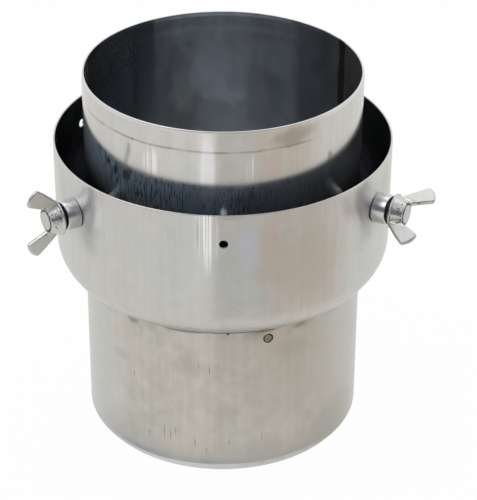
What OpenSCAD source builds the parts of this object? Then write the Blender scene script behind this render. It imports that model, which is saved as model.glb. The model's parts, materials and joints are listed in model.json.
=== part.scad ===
// Adaptor that joins a flexible chimney flue liner to a rigid stove pipe.
// The liner slips over the inner sleeve, inside the wide collar, and three
// wing screws in the collar clamp it. The spigot below goes into the pipe.
// Millimetres. Origin on the axis, level with the shoulder's lower edge, where
// the stove pipe stops. +Z up, -Y to the front. Angles round the axis count
// from the front, towards +X.

/* [Spigot] */
// Outside diameter of the spigot
spigot_od = 150; // [120:1:170]
// Sheet thickness of the spigot
spigot_wall = 1.5; // [0.8:0.1:2]
// Height of the spigot below the collar's shoulder
spigot_len = 90.4; // [60:0.2:140]
// Height of the turned-in bottom edge
lead_in_h = 4; // [2:0.5:8]
// How far the bottom edge turns in
lead_in_depth = 3.2; // [1:0.2:5]

/* [Collar] */
// Width of the gap between the inner sleeve and the collar
liner_gap = 15.2; // [10:0.2:25]
// Sheet thickness of the collar
collar_wall = 1; // [0.8:0.1:2]
// Height of the collar from the shoulder's lower edge to its rim
collar_h = 78; // [64:1:120]
// Outside radius of the shoulder's bend
shoulder_bend_r = 20; // [14:0.5:22]
// Slope of the shoulder's cone, measured from the vertical
shoulder_slope = 58; // [50:1:64]

/* [Inner sleeve] */
// Sheet thickness of the sleeve
sleeve_wall = 1; // [0.8:0.1:2]
// Height of the sleeve above the collar's rim
sleeve_above = 37.6; // [10:0.2:60]
// Lap of the sleeve inside the spigot, where the two are spot welded
sleeve_lap = 12; // [6:0.5:24]
// How far the sleeve swells out above its lap
sleeve_swell = 0.3; // [0.2:0.1:0.6]
// Height above the shoulder's lower edge where it reaches its full size
swell_top = 2.4; // [2.2:0.1:5]
// Height of the eased top edge
sleeve_lip_h = 2.4; // [1:0.2:5]
// How far the top edge is eased inwards
sleeve_lip_depth = 0.4; // [0.1:0.1:0.8]

/* [Bosses] */
// Outside diameter of a threaded boss
boss_d = 16; // [13:0.5:20]
// Length of a boss outside the collar
boss_len = 8; // [5:0.5:14]
// Diameter of the boss's nose, which fills its hole through the collar's wall
boss_nose_d = 11; // [9.5:0.5:12]
// Chamfer on the boss's outer edge
boss_chamfer = 0.7; // [0.3:0.1:1.2]
// Distance of the screws' axes below the collar's rim
boss_drop = 21.6; // [14:0.2:32]

/* [Wing screws] */
// Nominal thread diameter
thread_d = 8; // [6:1:8]
// Radial clearance of the stud in its boss and in the wing head
stud_clear = 0.05; // [0.02:0.01:0.08]
// Length of the stud below the wing head
stud_len = 20; // [14:1:26]
// Chamfer on the stud's tip
tip_chamfer = 0.9; // [0.4:0.1:1.4]
// Gap left between wing head and boss, as the screws stand
backed_off = 1.8; // [1.4:0.1:4]
// Outside diameter of the wing head's base flange
flange_d = 18.6; // [16:0.2:22]
// Thickness of the base flange
flange_t = 1.1; // [0.8:0.1:2]
// Diameter of the hub just above the flange
hub_base_d = 17; // [15:0.2:18]
// Diameter of the hub at its outer end
hub_top_d = 12.8; // [12:0.2:14]
// Height of the hub, flange and all
hub_h = 7; // [6:0.2:10]
// Diameter of the stud's riveted end
rivet_d = 10; // [9:0.2:10.4]
// Thickness of the riveted end
rivet_t = 1.8; // [1.2:0.1:2.4]
// How far the riveted end stands out of the hub
rivet_proud = 0.5; // [0.2:0.1:1]
// Width of the groove round the riveted end
rivet_groove = 0.4; // [0.3:0.1:0.6]
// Span of the wing head across its two wings
wing_span = 40; // [34:1:48]
// Height of the wing tips above the base flange
wing_h = 17.6; // [15:0.2:22]
// Distance of the wing tips' inner corners from the screw's axis
wing_inner = 11.6; // [10.5:0.1:13]
// Height of the wing tips' outer corners above the base flange
wing_outer_h = 12.3; // [10:0.1:14]
// Thickness of a wing at its root
wing_root_t = 3; // [2.4:0.1:3.6]
// Thickness of a wing at its tip
wing_tip_t = 2.2; // [1.8:0.1:2.4]
// Turn of the left wing head, as it stands
wing_turn_left = 5; // [-90:1:90]
// Turn of the right wing head, as it stands
wing_turn_right = 69; // [-90:1:90]
// Turn of the back wing head, as it stands
wing_turn_back = -38; // [-90:1:90]

/* [Fixing holes] */
// Diameter of the plain fixing holes in the collar
fix_hole_d = 4.6; // [3:0.1:6]
// Distance of the fixing holes below the collar's rim
fix_hole_drop = 16.2; // [8:0.1:24]
// Turn of the front fixing hole from midway between two bosses
fix_hole_turn = -2; // [-20:1:20]
// How much further round the two fixing holes at the back stand
fix_hole_skew = 1.2; // [-4:0.2:4]

/* [Hidden] */

// Number of screws and bosses round the collar, and the angle between them
SCREWS = 3;
PITCH_ANGLE = 360 / SCREWS;
// Places of the screws round the axis
AZ_LEFT = -PITCH_ANGLE / 2;
AZ_RIGHT = PITCH_ANGLE / 2;
AZ_BACK = 180;

// Overshoot of a cutting tool past the surface it breaks through
CUT = 1;
// Facet settings: true curves for revolved shapes, steps for drawn curves
ROUND = 128;
CURVE_STEPS = 8;

// Radii and heights of the three sheet-metal shells
spigot_r = spigot_od / 2;
spigot_in_r = spigot_r - spigot_wall;
lap_in_r = spigot_in_r - sleeve_wall;
sleeve_r = spigot_in_r + sleeve_swell;
sleeve_in_r = sleeve_r - sleeve_wall;
collar_in_r = sleeve_r + liner_gap;
collar_r = collar_in_r + collar_wall;
base_z = -spigot_len;
rim_z = collar_h;
sleeve_z0 = -sleeve_lap;
sleeve_top_z = rim_z + sleeve_above;

// Shoulder: its cone meets the spigot at height 0, its bend runs into the wall
bend_c_r = collar_r - shoulder_bend_r;
cone_top_r = bend_c_r + shoulder_bend_r * cos(shoulder_slope);
bend_z = shoulder_bend_r * sin(shoulder_slope)
       + (cone_top_r - spigot_r) / tan(shoulder_slope);

// Seat of the collar's trimmed lower edge on the spigot's top edge
seat_w = min(spigot_wall, collar_wall);
seat_in_r = spigot_r - seat_w;
seat_h = collar_wall / sin(shoulder_slope) - seat_w / tan(shoulder_slope);

// Bottom edge of the spigot: slope of the turned-in part
lead_slope = atan(lead_in_depth / lead_in_h);
lead_wall_w = spigot_wall / cos(lead_slope);
lead_in_shift = spigot_wall * tan(lead_slope / 2);

// Screws: distances along the screw's axis, counted from the collar's wall
boss_z = rim_z - boss_drop;
boss_r = boss_d / 2;
boss_nose_r = boss_nose_d / 2;
stud_r = thread_d / 2;
stud_hole_r = stud_r + stud_clear;
head_a = boss_len + backed_off;
rivet_r = rivet_d / 2;
rivet_seat_h = hub_h + rivet_proud - rivet_t;
sink_r = rivet_r + rivet_groove;
wing_r = wing_span / 2;
wing_root_y = sink_r + stud_clear;

// Size of the cutting box that trims the wings to their taper
TRIM = wing_span;
// Points that pull the wing outline's curves, as shares of its sizes
BACK_PULL = [0.74, 0.42];
TIP_PULL = [0.87, 1.0];
FRONT_PULL = [0.80, 0.72];

// Point at share t along a curve from a to c, drawn towards b
function curve(a, b, c, t) = (1 - t) * (1 - t) * a + 2 * t * (1 - t) * b + t * t * c;

// Points of that curve, with its first end left off
function curve_points(a, b, c) = [for (i = [1 : CURVE_STEPS]) curve(a, b, c, i / CURVE_STEPS)];

// Wing outline as distance from the screw's axis and height above the flange
wing_foot = [flange_d / 2, flange_t / 2];
wing_outer = [wing_r, wing_outer_h];
wing_tip = [wing_inner, wing_h];
wing_neck = [hub_top_d / 2, hub_h];
back_pull = [wing_r * BACK_PULL[0], wing_outer_h * BACK_PULL[1]];
tip_pull = [wing_r * TIP_PULL[0], wing_h * TIP_PULL[1]];
front_pull = [wing_inner * FRONT_PULL[0], wing_h * FRONT_PULL[1]];
WING_OUTLINE = concat(
    [[wing_root_y, flange_t / 2], wing_foot],
    curve_points(wing_foot, back_pull, wing_outer),
    curve_points(wing_outer, tip_pull, wing_tip),
    curve_points(wing_tip, front_pull, wing_neck),
    [[wing_root_y, hub_h - flange_t]]);

// Turns of the fixing holes from the front
FIX_TURNS = [fix_hole_turn,
             fix_hole_turn + PITCH_ANGLE + fix_hole_skew,
             fix_hole_turn - PITCH_ANGLE + fix_hole_skew];

// Ring-shaped band of sheet metal, bent between two angles about a centre
module bent_band(centre, r_out, wall, from_angle, to_angle) {
    reach = 2 * r_out;
    mid = (from_angle + to_angle) / 2;
    translate(centre)
        intersection() {
            difference() {
                circle(r = r_out, $fn = ROUND);
                circle(r = r_out - wall, $fn = ROUND);
            }
            polygon([[0, 0],
                     reach * [cos(from_angle), sin(from_angle)],
                     reach * [cos(mid), sin(mid)],
                     reach * [cos(to_angle), sin(to_angle)]]);
        }
}

// Places its children on a radial axis: +Z outwards from the collar, +Y up
module on_radius(azimuth, height) {
    rotate([0, 0, azimuth])
        translate([0, -collar_r, height])
            rotate([90, 0, 0])
                children();
}

// Rolled tube that goes into the stove pipe, its bottom edge turned in
module spigot() {
    color("tan")
        rotate_extrude($fn = ROUND)
            polygon([[spigot_r, 0],
                     [spigot_r, base_z + lead_in_h],
                     [spigot_r - lead_in_depth, base_z],
                     [spigot_r - lead_in_depth - lead_wall_w, base_z],
                     [spigot_in_r, base_z + lead_in_h + lead_in_shift],
                     [spigot_in_r, 0]]);
}

// Section of the collar: wall, bend and cone, trimmed flat to stand on the spigot
module collar_section() {
    cone_dir = [-sin(shoulder_slope), -cos(shoulder_slope)];
    out_dir = [cos(shoulder_slope), -sin(shoulder_slope)];
    cone_out = [bend_c_r, bend_z] + shoulder_bend_r * out_dir;
    cone_in = cone_out - collar_wall * out_dir;
    translate([collar_in_r, bend_z])
        square([collar_wall, rim_z - bend_z]);
    bent_band([bend_c_r, bend_z], shoulder_bend_r, collar_wall, -shoulder_slope, 0);
    polygon([cone_out, cone_in,
             [seat_in_r, seat_h],
             [seat_in_r, 0],
             [spigot_r, 0]]);
}

// Spun bell with holes for the bosses' noses and the plain fixing holes
module collar() {
    color("silver")
        difference() {
            rotate_extrude($fn = ROUND)
                collar_section();
            for (turn = [AZ_LEFT, AZ_RIGHT, AZ_BACK])
                on_radius(turn, boss_z)
                    translate([0, 0, -liner_gap / 2])
                        cylinder(r = boss_nose_r, h = liner_gap, $fn = ROUND);
            for (turn = FIX_TURNS)
                on_radius(turn, rim_z - fix_hole_drop)
                    translate([0, 0, -liner_gap / 2])
                        cylinder(d = fix_hole_d, h = liner_gap, $fn = ROUND);
        }
}

// Rolled tube that the liner slips over, lapped inside the spigot
module inner_sleeve() {
    color("lightgray")
        rotate_extrude($fn = ROUND)
            polygon([[lap_in_r, sleeve_z0],
                     [spigot_in_r, sleeve_z0],
                     [spigot_in_r, seat_h],
                     [sleeve_r, swell_top],
                     [sleeve_r, sleeve_top_z - sleeve_lip_h],
                     [sleeve_r - sleeve_lip_depth, sleeve_top_z],
                     [sleeve_in_r - sleeve_lip_depth, sleeve_top_z],
                     [sleeve_in_r, sleeve_top_z - sleeve_lip_h],
                     [sleeve_in_r, swell_top],
                     [lap_in_r, seat_h]]);
}

// Turned and threaded boss: shoulder against the collar, nose in its hole
module boss(azimuth) {
    color("gainsboro")
        on_radius(azimuth, boss_z)
            rotate_extrude($fn = ROUND)
                polygon([[stud_hole_r, -collar_wall],
                         [boss_nose_r, -collar_wall],
                         [boss_nose_r, 0],
                         [boss_r, 0],
                         [boss_r, boss_len - boss_chamfer],
                         [boss_r - boss_chamfer, boss_len],
                         [stud_hole_r, boss_len]]);
}

// Screw's shank with a chamfered tip, riveted over in the wing head
module stud(azimuth) {
    color("darkgray")
        on_radius(azimuth, boss_z)
            translate([0, 0, head_a])
                rotate_extrude($fn = ROUND)
                    polygon([[0, -stud_len],
                             [stud_r - tip_chamfer, -stud_len],
                             [stud_r, -stud_len + tip_chamfer],
                             [stud_r, rivet_seat_h + stud_clear],
                             [rivet_r, rivet_seat_h + stud_clear],
                             [rivet_r, hub_h + rivet_proud],
                             [0, hub_h + rivet_proud]]);
}

// One wing: a flared plate, thinner towards its tip
module wing_plate() {
    taper = atan((wing_root_t - wing_tip_t) / 2 / (wing_r - wing_root_y));
    difference() {
        translate([-wing_root_t / 2, 0, 0])
            rotate([90, 0, 90])
                linear_extrude(height = wing_root_t)
                    polygon(WING_OUTLINE);
        for (side = [0, 1])
            mirror([side, 0, 0])
                translate([wing_root_t / 2, wing_root_y, -CUT])
                    rotate([0, 0, taper])
                        cube([TRIM, TRIM, TRIM]);
    }
}

// Cast wing head: flanged hub, two wings, seat for the riveted stud
module wing_head(azimuth, turn) {
    color("whitesmoke")
        on_radius(azimuth, boss_z)
            translate([0, 0, head_a])
                rotate([0, 0, -turn])
                    difference() {
                        union() {
                            rotate_extrude($fn = ROUND)
                                polygon([[0, 0],
                                         [flange_d / 2, 0],
                                         [flange_d / 2, flange_t],
                                         [hub_base_d / 2, flange_t],
                                         [hub_top_d / 2, hub_h],
                                         [0, hub_h]]);
                            wing_plate();
                            rotate([0, 0, 180])
                                wing_plate();
                        }
                        translate([0, 0, -CUT])
                            cylinder(r = stud_hole_r, h = hub_h + 2 * CUT, $fn = ROUND);
                        translate([0, 0, rivet_seat_h])
                            cylinder(r = sink_r, h = wing_h, $fn = ROUND);
                    }
}

module boss_left() {
    boss(AZ_LEFT);
}

module boss_right() {
    boss(AZ_RIGHT);
}

module boss_back() {
    boss(AZ_BACK);
}

module stud_left() {
    stud(AZ_LEFT);
}

module stud_right() {
    stud(AZ_RIGHT);
}

module stud_back() {
    stud(AZ_BACK);
}

module wing_left() {
    wing_head(AZ_LEFT, wing_turn_left);
}

module wing_right() {
    wing_head(AZ_RIGHT, wing_turn_right);
}

module wing_back() {
    wing_head(AZ_BACK, wing_turn_back);
}

spigot();
collar();
inner_sleeve();
boss_left();
boss_right();
boss_back();
stud_left();
stud_right();
stud_back();
wing_left();
wing_right();
wing_back();
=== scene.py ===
"""Looks of a flue liner adaptor: sheet-steel shells, bosses and wing screws.

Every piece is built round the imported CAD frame, in metres and in the CAD's
axes. The origin lies on the flue's axis at the foot of the collar's shoulder,
Z points up the flue and -Y to the front. Angles round the axis count from the
front towards +X.
"""

import json
import logging
import math
from dataclasses import dataclass, field
from enum import Enum
from typing import Any, Sequence, Union

import bpy
import numpy as np
from mathutils import Matrix, Vector

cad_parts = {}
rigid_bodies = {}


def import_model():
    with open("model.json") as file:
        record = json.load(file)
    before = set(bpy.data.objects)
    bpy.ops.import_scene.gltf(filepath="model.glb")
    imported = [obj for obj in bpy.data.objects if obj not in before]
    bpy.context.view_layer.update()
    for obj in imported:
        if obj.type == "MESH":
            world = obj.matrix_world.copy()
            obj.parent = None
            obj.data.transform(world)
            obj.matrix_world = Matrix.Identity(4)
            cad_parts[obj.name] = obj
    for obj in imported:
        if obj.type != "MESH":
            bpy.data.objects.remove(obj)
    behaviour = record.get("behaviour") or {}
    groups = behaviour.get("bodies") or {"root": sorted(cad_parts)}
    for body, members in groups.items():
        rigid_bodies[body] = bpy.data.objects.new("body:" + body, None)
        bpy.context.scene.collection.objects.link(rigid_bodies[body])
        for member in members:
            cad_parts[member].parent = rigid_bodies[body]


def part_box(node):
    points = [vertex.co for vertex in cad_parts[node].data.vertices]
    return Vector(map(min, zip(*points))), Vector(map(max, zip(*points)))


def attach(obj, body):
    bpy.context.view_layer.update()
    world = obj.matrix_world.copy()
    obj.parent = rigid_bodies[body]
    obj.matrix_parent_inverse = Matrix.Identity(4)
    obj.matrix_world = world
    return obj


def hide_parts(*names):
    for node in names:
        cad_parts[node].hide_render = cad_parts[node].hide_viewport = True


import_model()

LOG = logging.getLogger("flue_adaptor")
MM = 0.001

Colour = tuple[float, float, float]
Feed = Union[float, Sequence[float], bpy.types.NodeSocket]


class Side(Enum):
    """The three places round the collar that carry a screw, by azimuth in degrees."""

    LEFT = -60.0
    RIGHT = 60.0
    BACK = 180.0

    @property
    def label(self) -> str:
        """Name of the place as the CAD nodes and bodies use it."""
        return self.name.lower()


class RowEnds(Enum):
    """How the rows of a surface grid end: in a closed loop or in two poles."""

    LOOP = "loop"
    POLES = "poles"


# ---------------------------------------------------------------- outlines


def unit(vectors: np.ndarray) -> np.ndarray:
    """Each row divided by its length."""
    return vectors / np.maximum(np.linalg.norm(vectors, axis=-1, keepdims=True), 1e-12)


def rounded_outline(
    corners: Sequence[Sequence[float]], closed: bool = True, steps: int = 7
) -> np.ndarray:
    """Outline in a plane whose corners are circular arcs.

    The arc at corner P with turning angle q starts and ends radius * tan(q/2)
    from P, at A and B. Its points are the rational quadratic curve
    ((1-t)^2 A + 2 w t (1-t) P + t^2 B) / ((1-t)^2 + 2 w t (1-t) + t^2)
    with w = cos(q/2), which is an exact arc of a circle.

    Args:
        corners: One (across, along, radius) for each corner, in order.
        closed: Whether the last corner joins the first. The end corners of an
            open outline keep their points.
        steps: Points on each arc.

    Returns:
        The outline's points (across, along), without doubles.
    """
    rows = np.asarray(corners, float)
    at, radius = rows[:, :2], rows[:, 2].copy()
    back = unit(np.roll(at, 1, 0) - at)
    ahead = unit(np.roll(at, -1, 0) - at)
    if not closed:
        radius[[0, -1]] = 0.0
    turn = np.pi - np.arccos(np.clip((back * ahead).sum(1), -1.0, 1.0))
    setback = (radius * np.tan(turn / 2))[:, None]
    t = np.linspace(0.0, 1.0, steps)[None, :, None]
    weight = np.cos(turn / 2)[:, None, None]
    start, end, tip = (at + back * setback)[:, None], (at + ahead * setback)[:, None], at[:, None]
    bend = 2 * weight * t * (1 - t)
    arcs = ((1 - t) ** 2 * start + bend * tip + t**2 * end) / ((1 - t) ** 2 + bend + t**2)
    points = arcs.reshape(-1, 2)
    gap = np.linalg.norm(points - np.roll(points, 1, 0), axis=1)
    keep = gap > 1e-8
    if not closed:
        keep[0] = True
    return points[keep]


def spaced(points: np.ndarray, gap: float, closed: bool = True) -> np.ndarray:
    """Outline with points added so that no stretch is longer than the gap.

    A stretch of length L is cut into ceil(L / gap) equal parts, and part k of n
    starts at start + (end - start) * k / n.

    Args:
        points: The outline's points (across, along).
        gap: Longest stretch allowed.
        closed: Whether the last point joins the first.

    Returns:
        The denser outline.
    """
    ends = np.roll(points, -1, 0) if closed else points[1:]
    starts = points if closed else points[:-1]
    parts = np.maximum(np.ceil(np.linalg.norm(ends - starts, axis=1) / gap), 1).astype(int)
    owner = np.repeat(np.arange(len(starts)), parts)
    first = np.repeat(np.cumsum(parts) - parts, parts)
    share = ((np.arange(parts.sum()) - first) / parts[owner])[:, None]
    dense = starts[owner] + (ends - starts)[owner] * share
    return dense if closed else np.vstack([dense, points[-1:]])


def revolved(outline: np.ndarray, columns: int) -> np.ndarray:
    """Grid of points that carries an outline round the Z axis.

    Point (i, j) is (r_i sin a_j, -r_i cos a_j, z_i) with a_j = 2 pi j / columns.

    Args:
        outline: Points (radius, height).
        columns: Columns of the grid round the axis.

    Returns:
        Array of shape (rows, columns, 3).
    """
    angle = np.arange(columns) * (2 * np.pi / columns)
    ring = np.stack([np.sin(angle), -np.cos(angle)], -1)
    flat = outline[:, None, :1] * ring[None]
    height = np.broadcast_to(outline[:, None, 1:], (*flat.shape[:2], 1))
    return np.concatenate([flat, height], -1)


# ------------------------------------------------------------------ meshes


def fill_mesh(
    name: str, points: np.ndarray, faces: list[np.ndarray], places: list[np.ndarray]
) -> bpy.types.Mesh:
    """Mesh with smooth faces and a UV map, its faces turned outwards.

    The signed volume is the sum of v0 . (v1 x v2) / 6 over a fan of triangles.
    Where it is negative, every face's corners are reversed.

    Args:
        name: Name of the mesh.
        points: Vertex places, shape (n, 3).
        faces: Arrays of vertex indices, one array for each number of corners.
        places: UV places of the faces' corners, matching faces.

    Returns:
        The mesh.
    """
    volume = 0.0
    for block in faces:
        v = points[block]
        for k in range(1, block.shape[1] - 1):
            volume += float(np.einsum("ij,ij->", v[:, 0], np.cross(v[:, k], v[:, k + 1])))
    if volume < 0:
        faces = [block[:, ::-1] for block in faces]
        places = [block[:, ::-1] for block in places]
    used, renumbered = np.unique(np.concatenate([b.ravel() for b in faces]), return_inverse=True)
    sizes = np.concatenate([np.full(len(b), b.shape[1]) for b in faces])
    mesh = bpy.data.meshes.new(name)
    mesh.vertices.add(len(used))
    mesh.vertices.foreach_set("co", np.ascontiguousarray(points[used], np.float32).ravel())
    mesh.loops.add(len(renumbered))
    mesh.loops.foreach_set("vertex_index", renumbered.astype(np.int32).ravel())
    mesh.polygons.add(len(sizes))
    mesh.polygons.foreach_set("loop_start", (np.cumsum(sizes) - sizes).astype(np.int32))
    mesh.polygons.foreach_set("use_smooth", np.ones(len(sizes), bool))
    mesh.update(calc_edges=True)
    layer = mesh.uv_layers.new(name="Surface")
    flat = np.concatenate([b.reshape(-1, 2) for b in places])
    layer.data.foreach_set("uv", np.ascontiguousarray(flat, np.float32).ravel())
    mesh.validate()
    return mesh


def grid_mesh(name: str, points: np.ndarray, ends: RowEnds) -> bpy.types.Mesh:
    """Closed mesh over a grid of points whose columns run round an axis.

    The corners of face (i, j) are points (i, j), (i, j+1), (i+1, j+1), (i+1, j).
    Columns always close. Rows close in a loop, or the first and last rows are
    one point each and their faces are triangles. UV is the share of the turn
    and the share of the way along the rows.

    Args:
        name: Name of the mesh.
        points: Grid of points, shape (rows, columns, 3).
        ends: How the rows end.

    Returns:
        The mesh.
    """
    rows, columns = points.shape[:2]
    index = np.arange(rows * columns).reshape(rows, columns)
    if ends is RowEnds.POLES:
        index[0], index[-1] = index[0, 0], index[-1, 0]
    right = np.roll(index, -1, 1)
    low, low_right = (index, right) if ends is RowEnds.LOOP else (index[:-1], right[:-1])
    high, high_right = (
        (np.roll(index, -1, 0), np.roll(right, -1, 0))
        if ends is RowEnds.LOOP
        else (index[1:], right[1:])
    )
    quads = np.stack([low, low_right, high_right, high], -1)
    along = np.arange(quads.shape[0])[:, None] / quads.shape[0]
    step = 1.0 / quads.shape[0]
    around = np.arange(columns)[None, :] / columns
    turn = 1.0 / columns
    along, around = np.broadcast_arrays(along, around)
    place = np.stack(
        [
            np.stack([around, along], -1),
            np.stack([around + turn, along], -1),
            np.stack([around + turn, along + step], -1),
            np.stack([around, along + step], -1),
        ],
        2,
    )
    flat = points.reshape(-1, 3)
    if ends is RowEnds.LOOP:
        return fill_mesh(name, flat, [quads.reshape(-1, 4)], [place.reshape(-1, 4, 2)])
    body, body_place = quads[1:-1].reshape(-1, 4), place[1:-1].reshape(-1, 4, 2)
    faces = [body, quads[0][:, [0, 2, 3]], quads[-1][:, [0, 1, 2]]]
    places = [body_place, place[0][:, [0, 2, 3]], place[-1][:, [0, 1, 2]]]
    return fill_mesh(name, flat, faces, places)


def sharpen(mesh: bpy.types.Mesh, degrees: float) -> None:
    """Keeps edges crisp that turn by more than an angle, and smooths the rest.

    Args:
        mesh: The mesh.
        degrees: Turn above which an edge stays sharp.
    """
    mesh.shade_smooth()
    mesh.set_sharp_from_angle(angle=math.radians(degrees))


def moved_copy(mesh: bpy.types.Mesh, name: str, place: Matrix) -> bpy.types.Mesh:
    """Copy of a mesh carried by a placing matrix, its old places kept as the attribute Local.

    Args:
        mesh: The mesh in its own axes.
        name: Name of the copy.
        place: The placing matrix.

    Returns:
        The copy.
    """
    copy = mesh.copy()
    if "Local" not in copy.attributes:
        local = np.empty(len(copy.vertices) * 3, np.float32)
        copy.vertices.foreach_get("co", local)
        copy.attributes.new("Local", "FLOAT_VECTOR", "POINT").data.foreach_set("vector", local)
    copy.name = name
    copy.transform(place)
    copy.update()
    return copy


def as_object(name: str, mesh: bpy.types.Mesh, finish: bpy.types.Material) -> bpy.types.Object:
    """Object at the origin that shows a mesh in one finish."""
    mesh.materials.clear()
    mesh.materials.append(finish)
    piece = bpy.data.objects.new(name, mesh)
    bpy.context.scene.collection.objects.link(piece)
    return piece


def report(piece: bpy.types.Object) -> None:
    """Logs a finished piece with its number of faces."""
    LOG.info("%s: %d faces", piece.name, len(piece.data.polygons))


def settled(piece: bpy.types.Object) -> bpy.types.Mesh:
    """Mesh of a piece with its modifiers worked in, which are then removed."""
    bpy.context.view_layer.update()
    shape = piece.evaluated_get(bpy.context.evaluated_depsgraph_get())
    mesh = bpy.data.meshes.new_from_object(shape)
    piece.modifiers.clear()
    return mesh


# ------------------------------------------------------------ shader nodes


class NodeBench:
    """Lays nodes in a shader tree and joins them."""

    def __init__(self, tree: bpy.types.NodeTree) -> None:
        """Keeps the tree that the nodes go into."""
        self.tree = tree

    def add(self, kind: str, **settings: Any) -> bpy.types.Node:
        """Adds a node and sets its options.

        Args:
            kind: Blender's name for the kind of node.
            **settings: Options of the node.

        Returns:
            The node.
        """
        node = self.tree.nodes.new(kind)
        for name, value in settings.items():
            setattr(node, name, value)
        return node

    def feed(self, socket: bpy.types.NodeSocket, value: Feed) -> None:
        """Links a socket to another node's output, or sets its own value."""
        if isinstance(value, bpy.types.NodeSocket):
            self.tree.links.new(value, socket)
        elif isinstance(socket, bpy.types.NodeSocketColor) and len(value) == 3:
            socket.default_value = (*value, 1.0)
        else:
            socket.default_value = value

    def math(self, operation: str, *values: Feed, clamp: bool = False) -> bpy.types.NodeSocket:
        """Result of one arithmetic step on up to three values."""
        node = self.add("ShaderNodeMath", operation=operation, use_clamp=clamp)
        for socket, value in zip(node.inputs, values):
            self.feed(socket, value)
        return node.outputs[0]

    def ease(self, value: Feed, low: Feed, high: Feed, start: Feed = 0.0, end: Feed = 1.0) -> bpy.types.NodeSocket:
        """Smooth step of a value from start, at low, to end, at high."""
        node = self.add("ShaderNodeMapRange", interpolation_type="SMOOTHSTEP")
        for socket, item in zip(node.inputs, (value, low, high, start, end)):
            self.feed(socket, item)
        return node.outputs[0]

    def blend(self, share: Feed, base: Feed, other: Feed, how: str = "MIX") -> bpy.types.NodeSocket:
        """Colour between a base and another colour, by a share."""
        node = self.add("ShaderNodeMix", data_type="RGBA", blend_type=how)
        for k, item in ((0, share), (6, base), (7, other)):
            self.feed(node.inputs[k], item)
        return node.outputs[2]

    def stretched(self, vector: Feed, scale: Sequence[float], shift: Sequence[float] = (0, 0, 0)) -> bpy.types.NodeSocket:
        """Coordinates multiplied along each axis and shifted."""
        node = self.add("ShaderNodeMapping")
        self.feed(node.inputs["Vector"], vector)
        node.inputs["Scale"].default_value = scale
        node.inputs["Location"].default_value = shift
        return node.outputs[0]

    def noise(self, vector: Feed, scale: Feed, detail: float = 2.0, rough: float = 0.5) -> bpy.types.NodeSocket:
        """Soft random value between 0 and 1 at each place."""
        node = self.add("ShaderNodeTexNoise")
        self.feed(node.inputs["Vector"], vector)
        self.feed(node.inputs["Scale"], scale)
        node.inputs["Detail"].default_value = detail
        node.inputs["Roughness"].default_value = rough
        return node.outputs[0]

    def use(self, group: bpy.types.NodeTree, **values: Feed) -> bpy.types.Node:
        """Places a node group and feeds its inputs, named with _ for a space."""
        node = self.add("ShaderNodeGroup", node_tree=group)
        for name, value in values.items():
            self.feed(node.inputs[name.replace("_", " ")], value)
        return node


class EffectGroup:
    """A shader node group with named inputs and outputs, built once."""

    def __init__(self, name: str, inputs: dict[str, str], outputs: dict[str, str]) -> None:
        """Makes the empty group.

        Args:
            name: Name of the group.
            inputs: Kind of each input, by name.
            outputs: Kind of each output, by name.
        """
        self.tree = bpy.data.node_groups.new(name, "ShaderNodeTree")
        for direction, sockets in (("INPUT", inputs), ("OUTPUT", outputs)):
            for label, kind in sockets.items():
                self.tree.interface.new_socket(name=label, in_out=direction, socket_type="NodeSocket" + kind)
        self.bench = NodeBench(self.tree)
        self.given = self.bench.add("NodeGroupInput").outputs
        self.result = self.bench.add("NodeGroupOutput").inputs

    def give(self, name: str, value: Feed) -> None:
        """Joins a value to a named output."""
        self.bench.feed(self.result[name], value)


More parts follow.
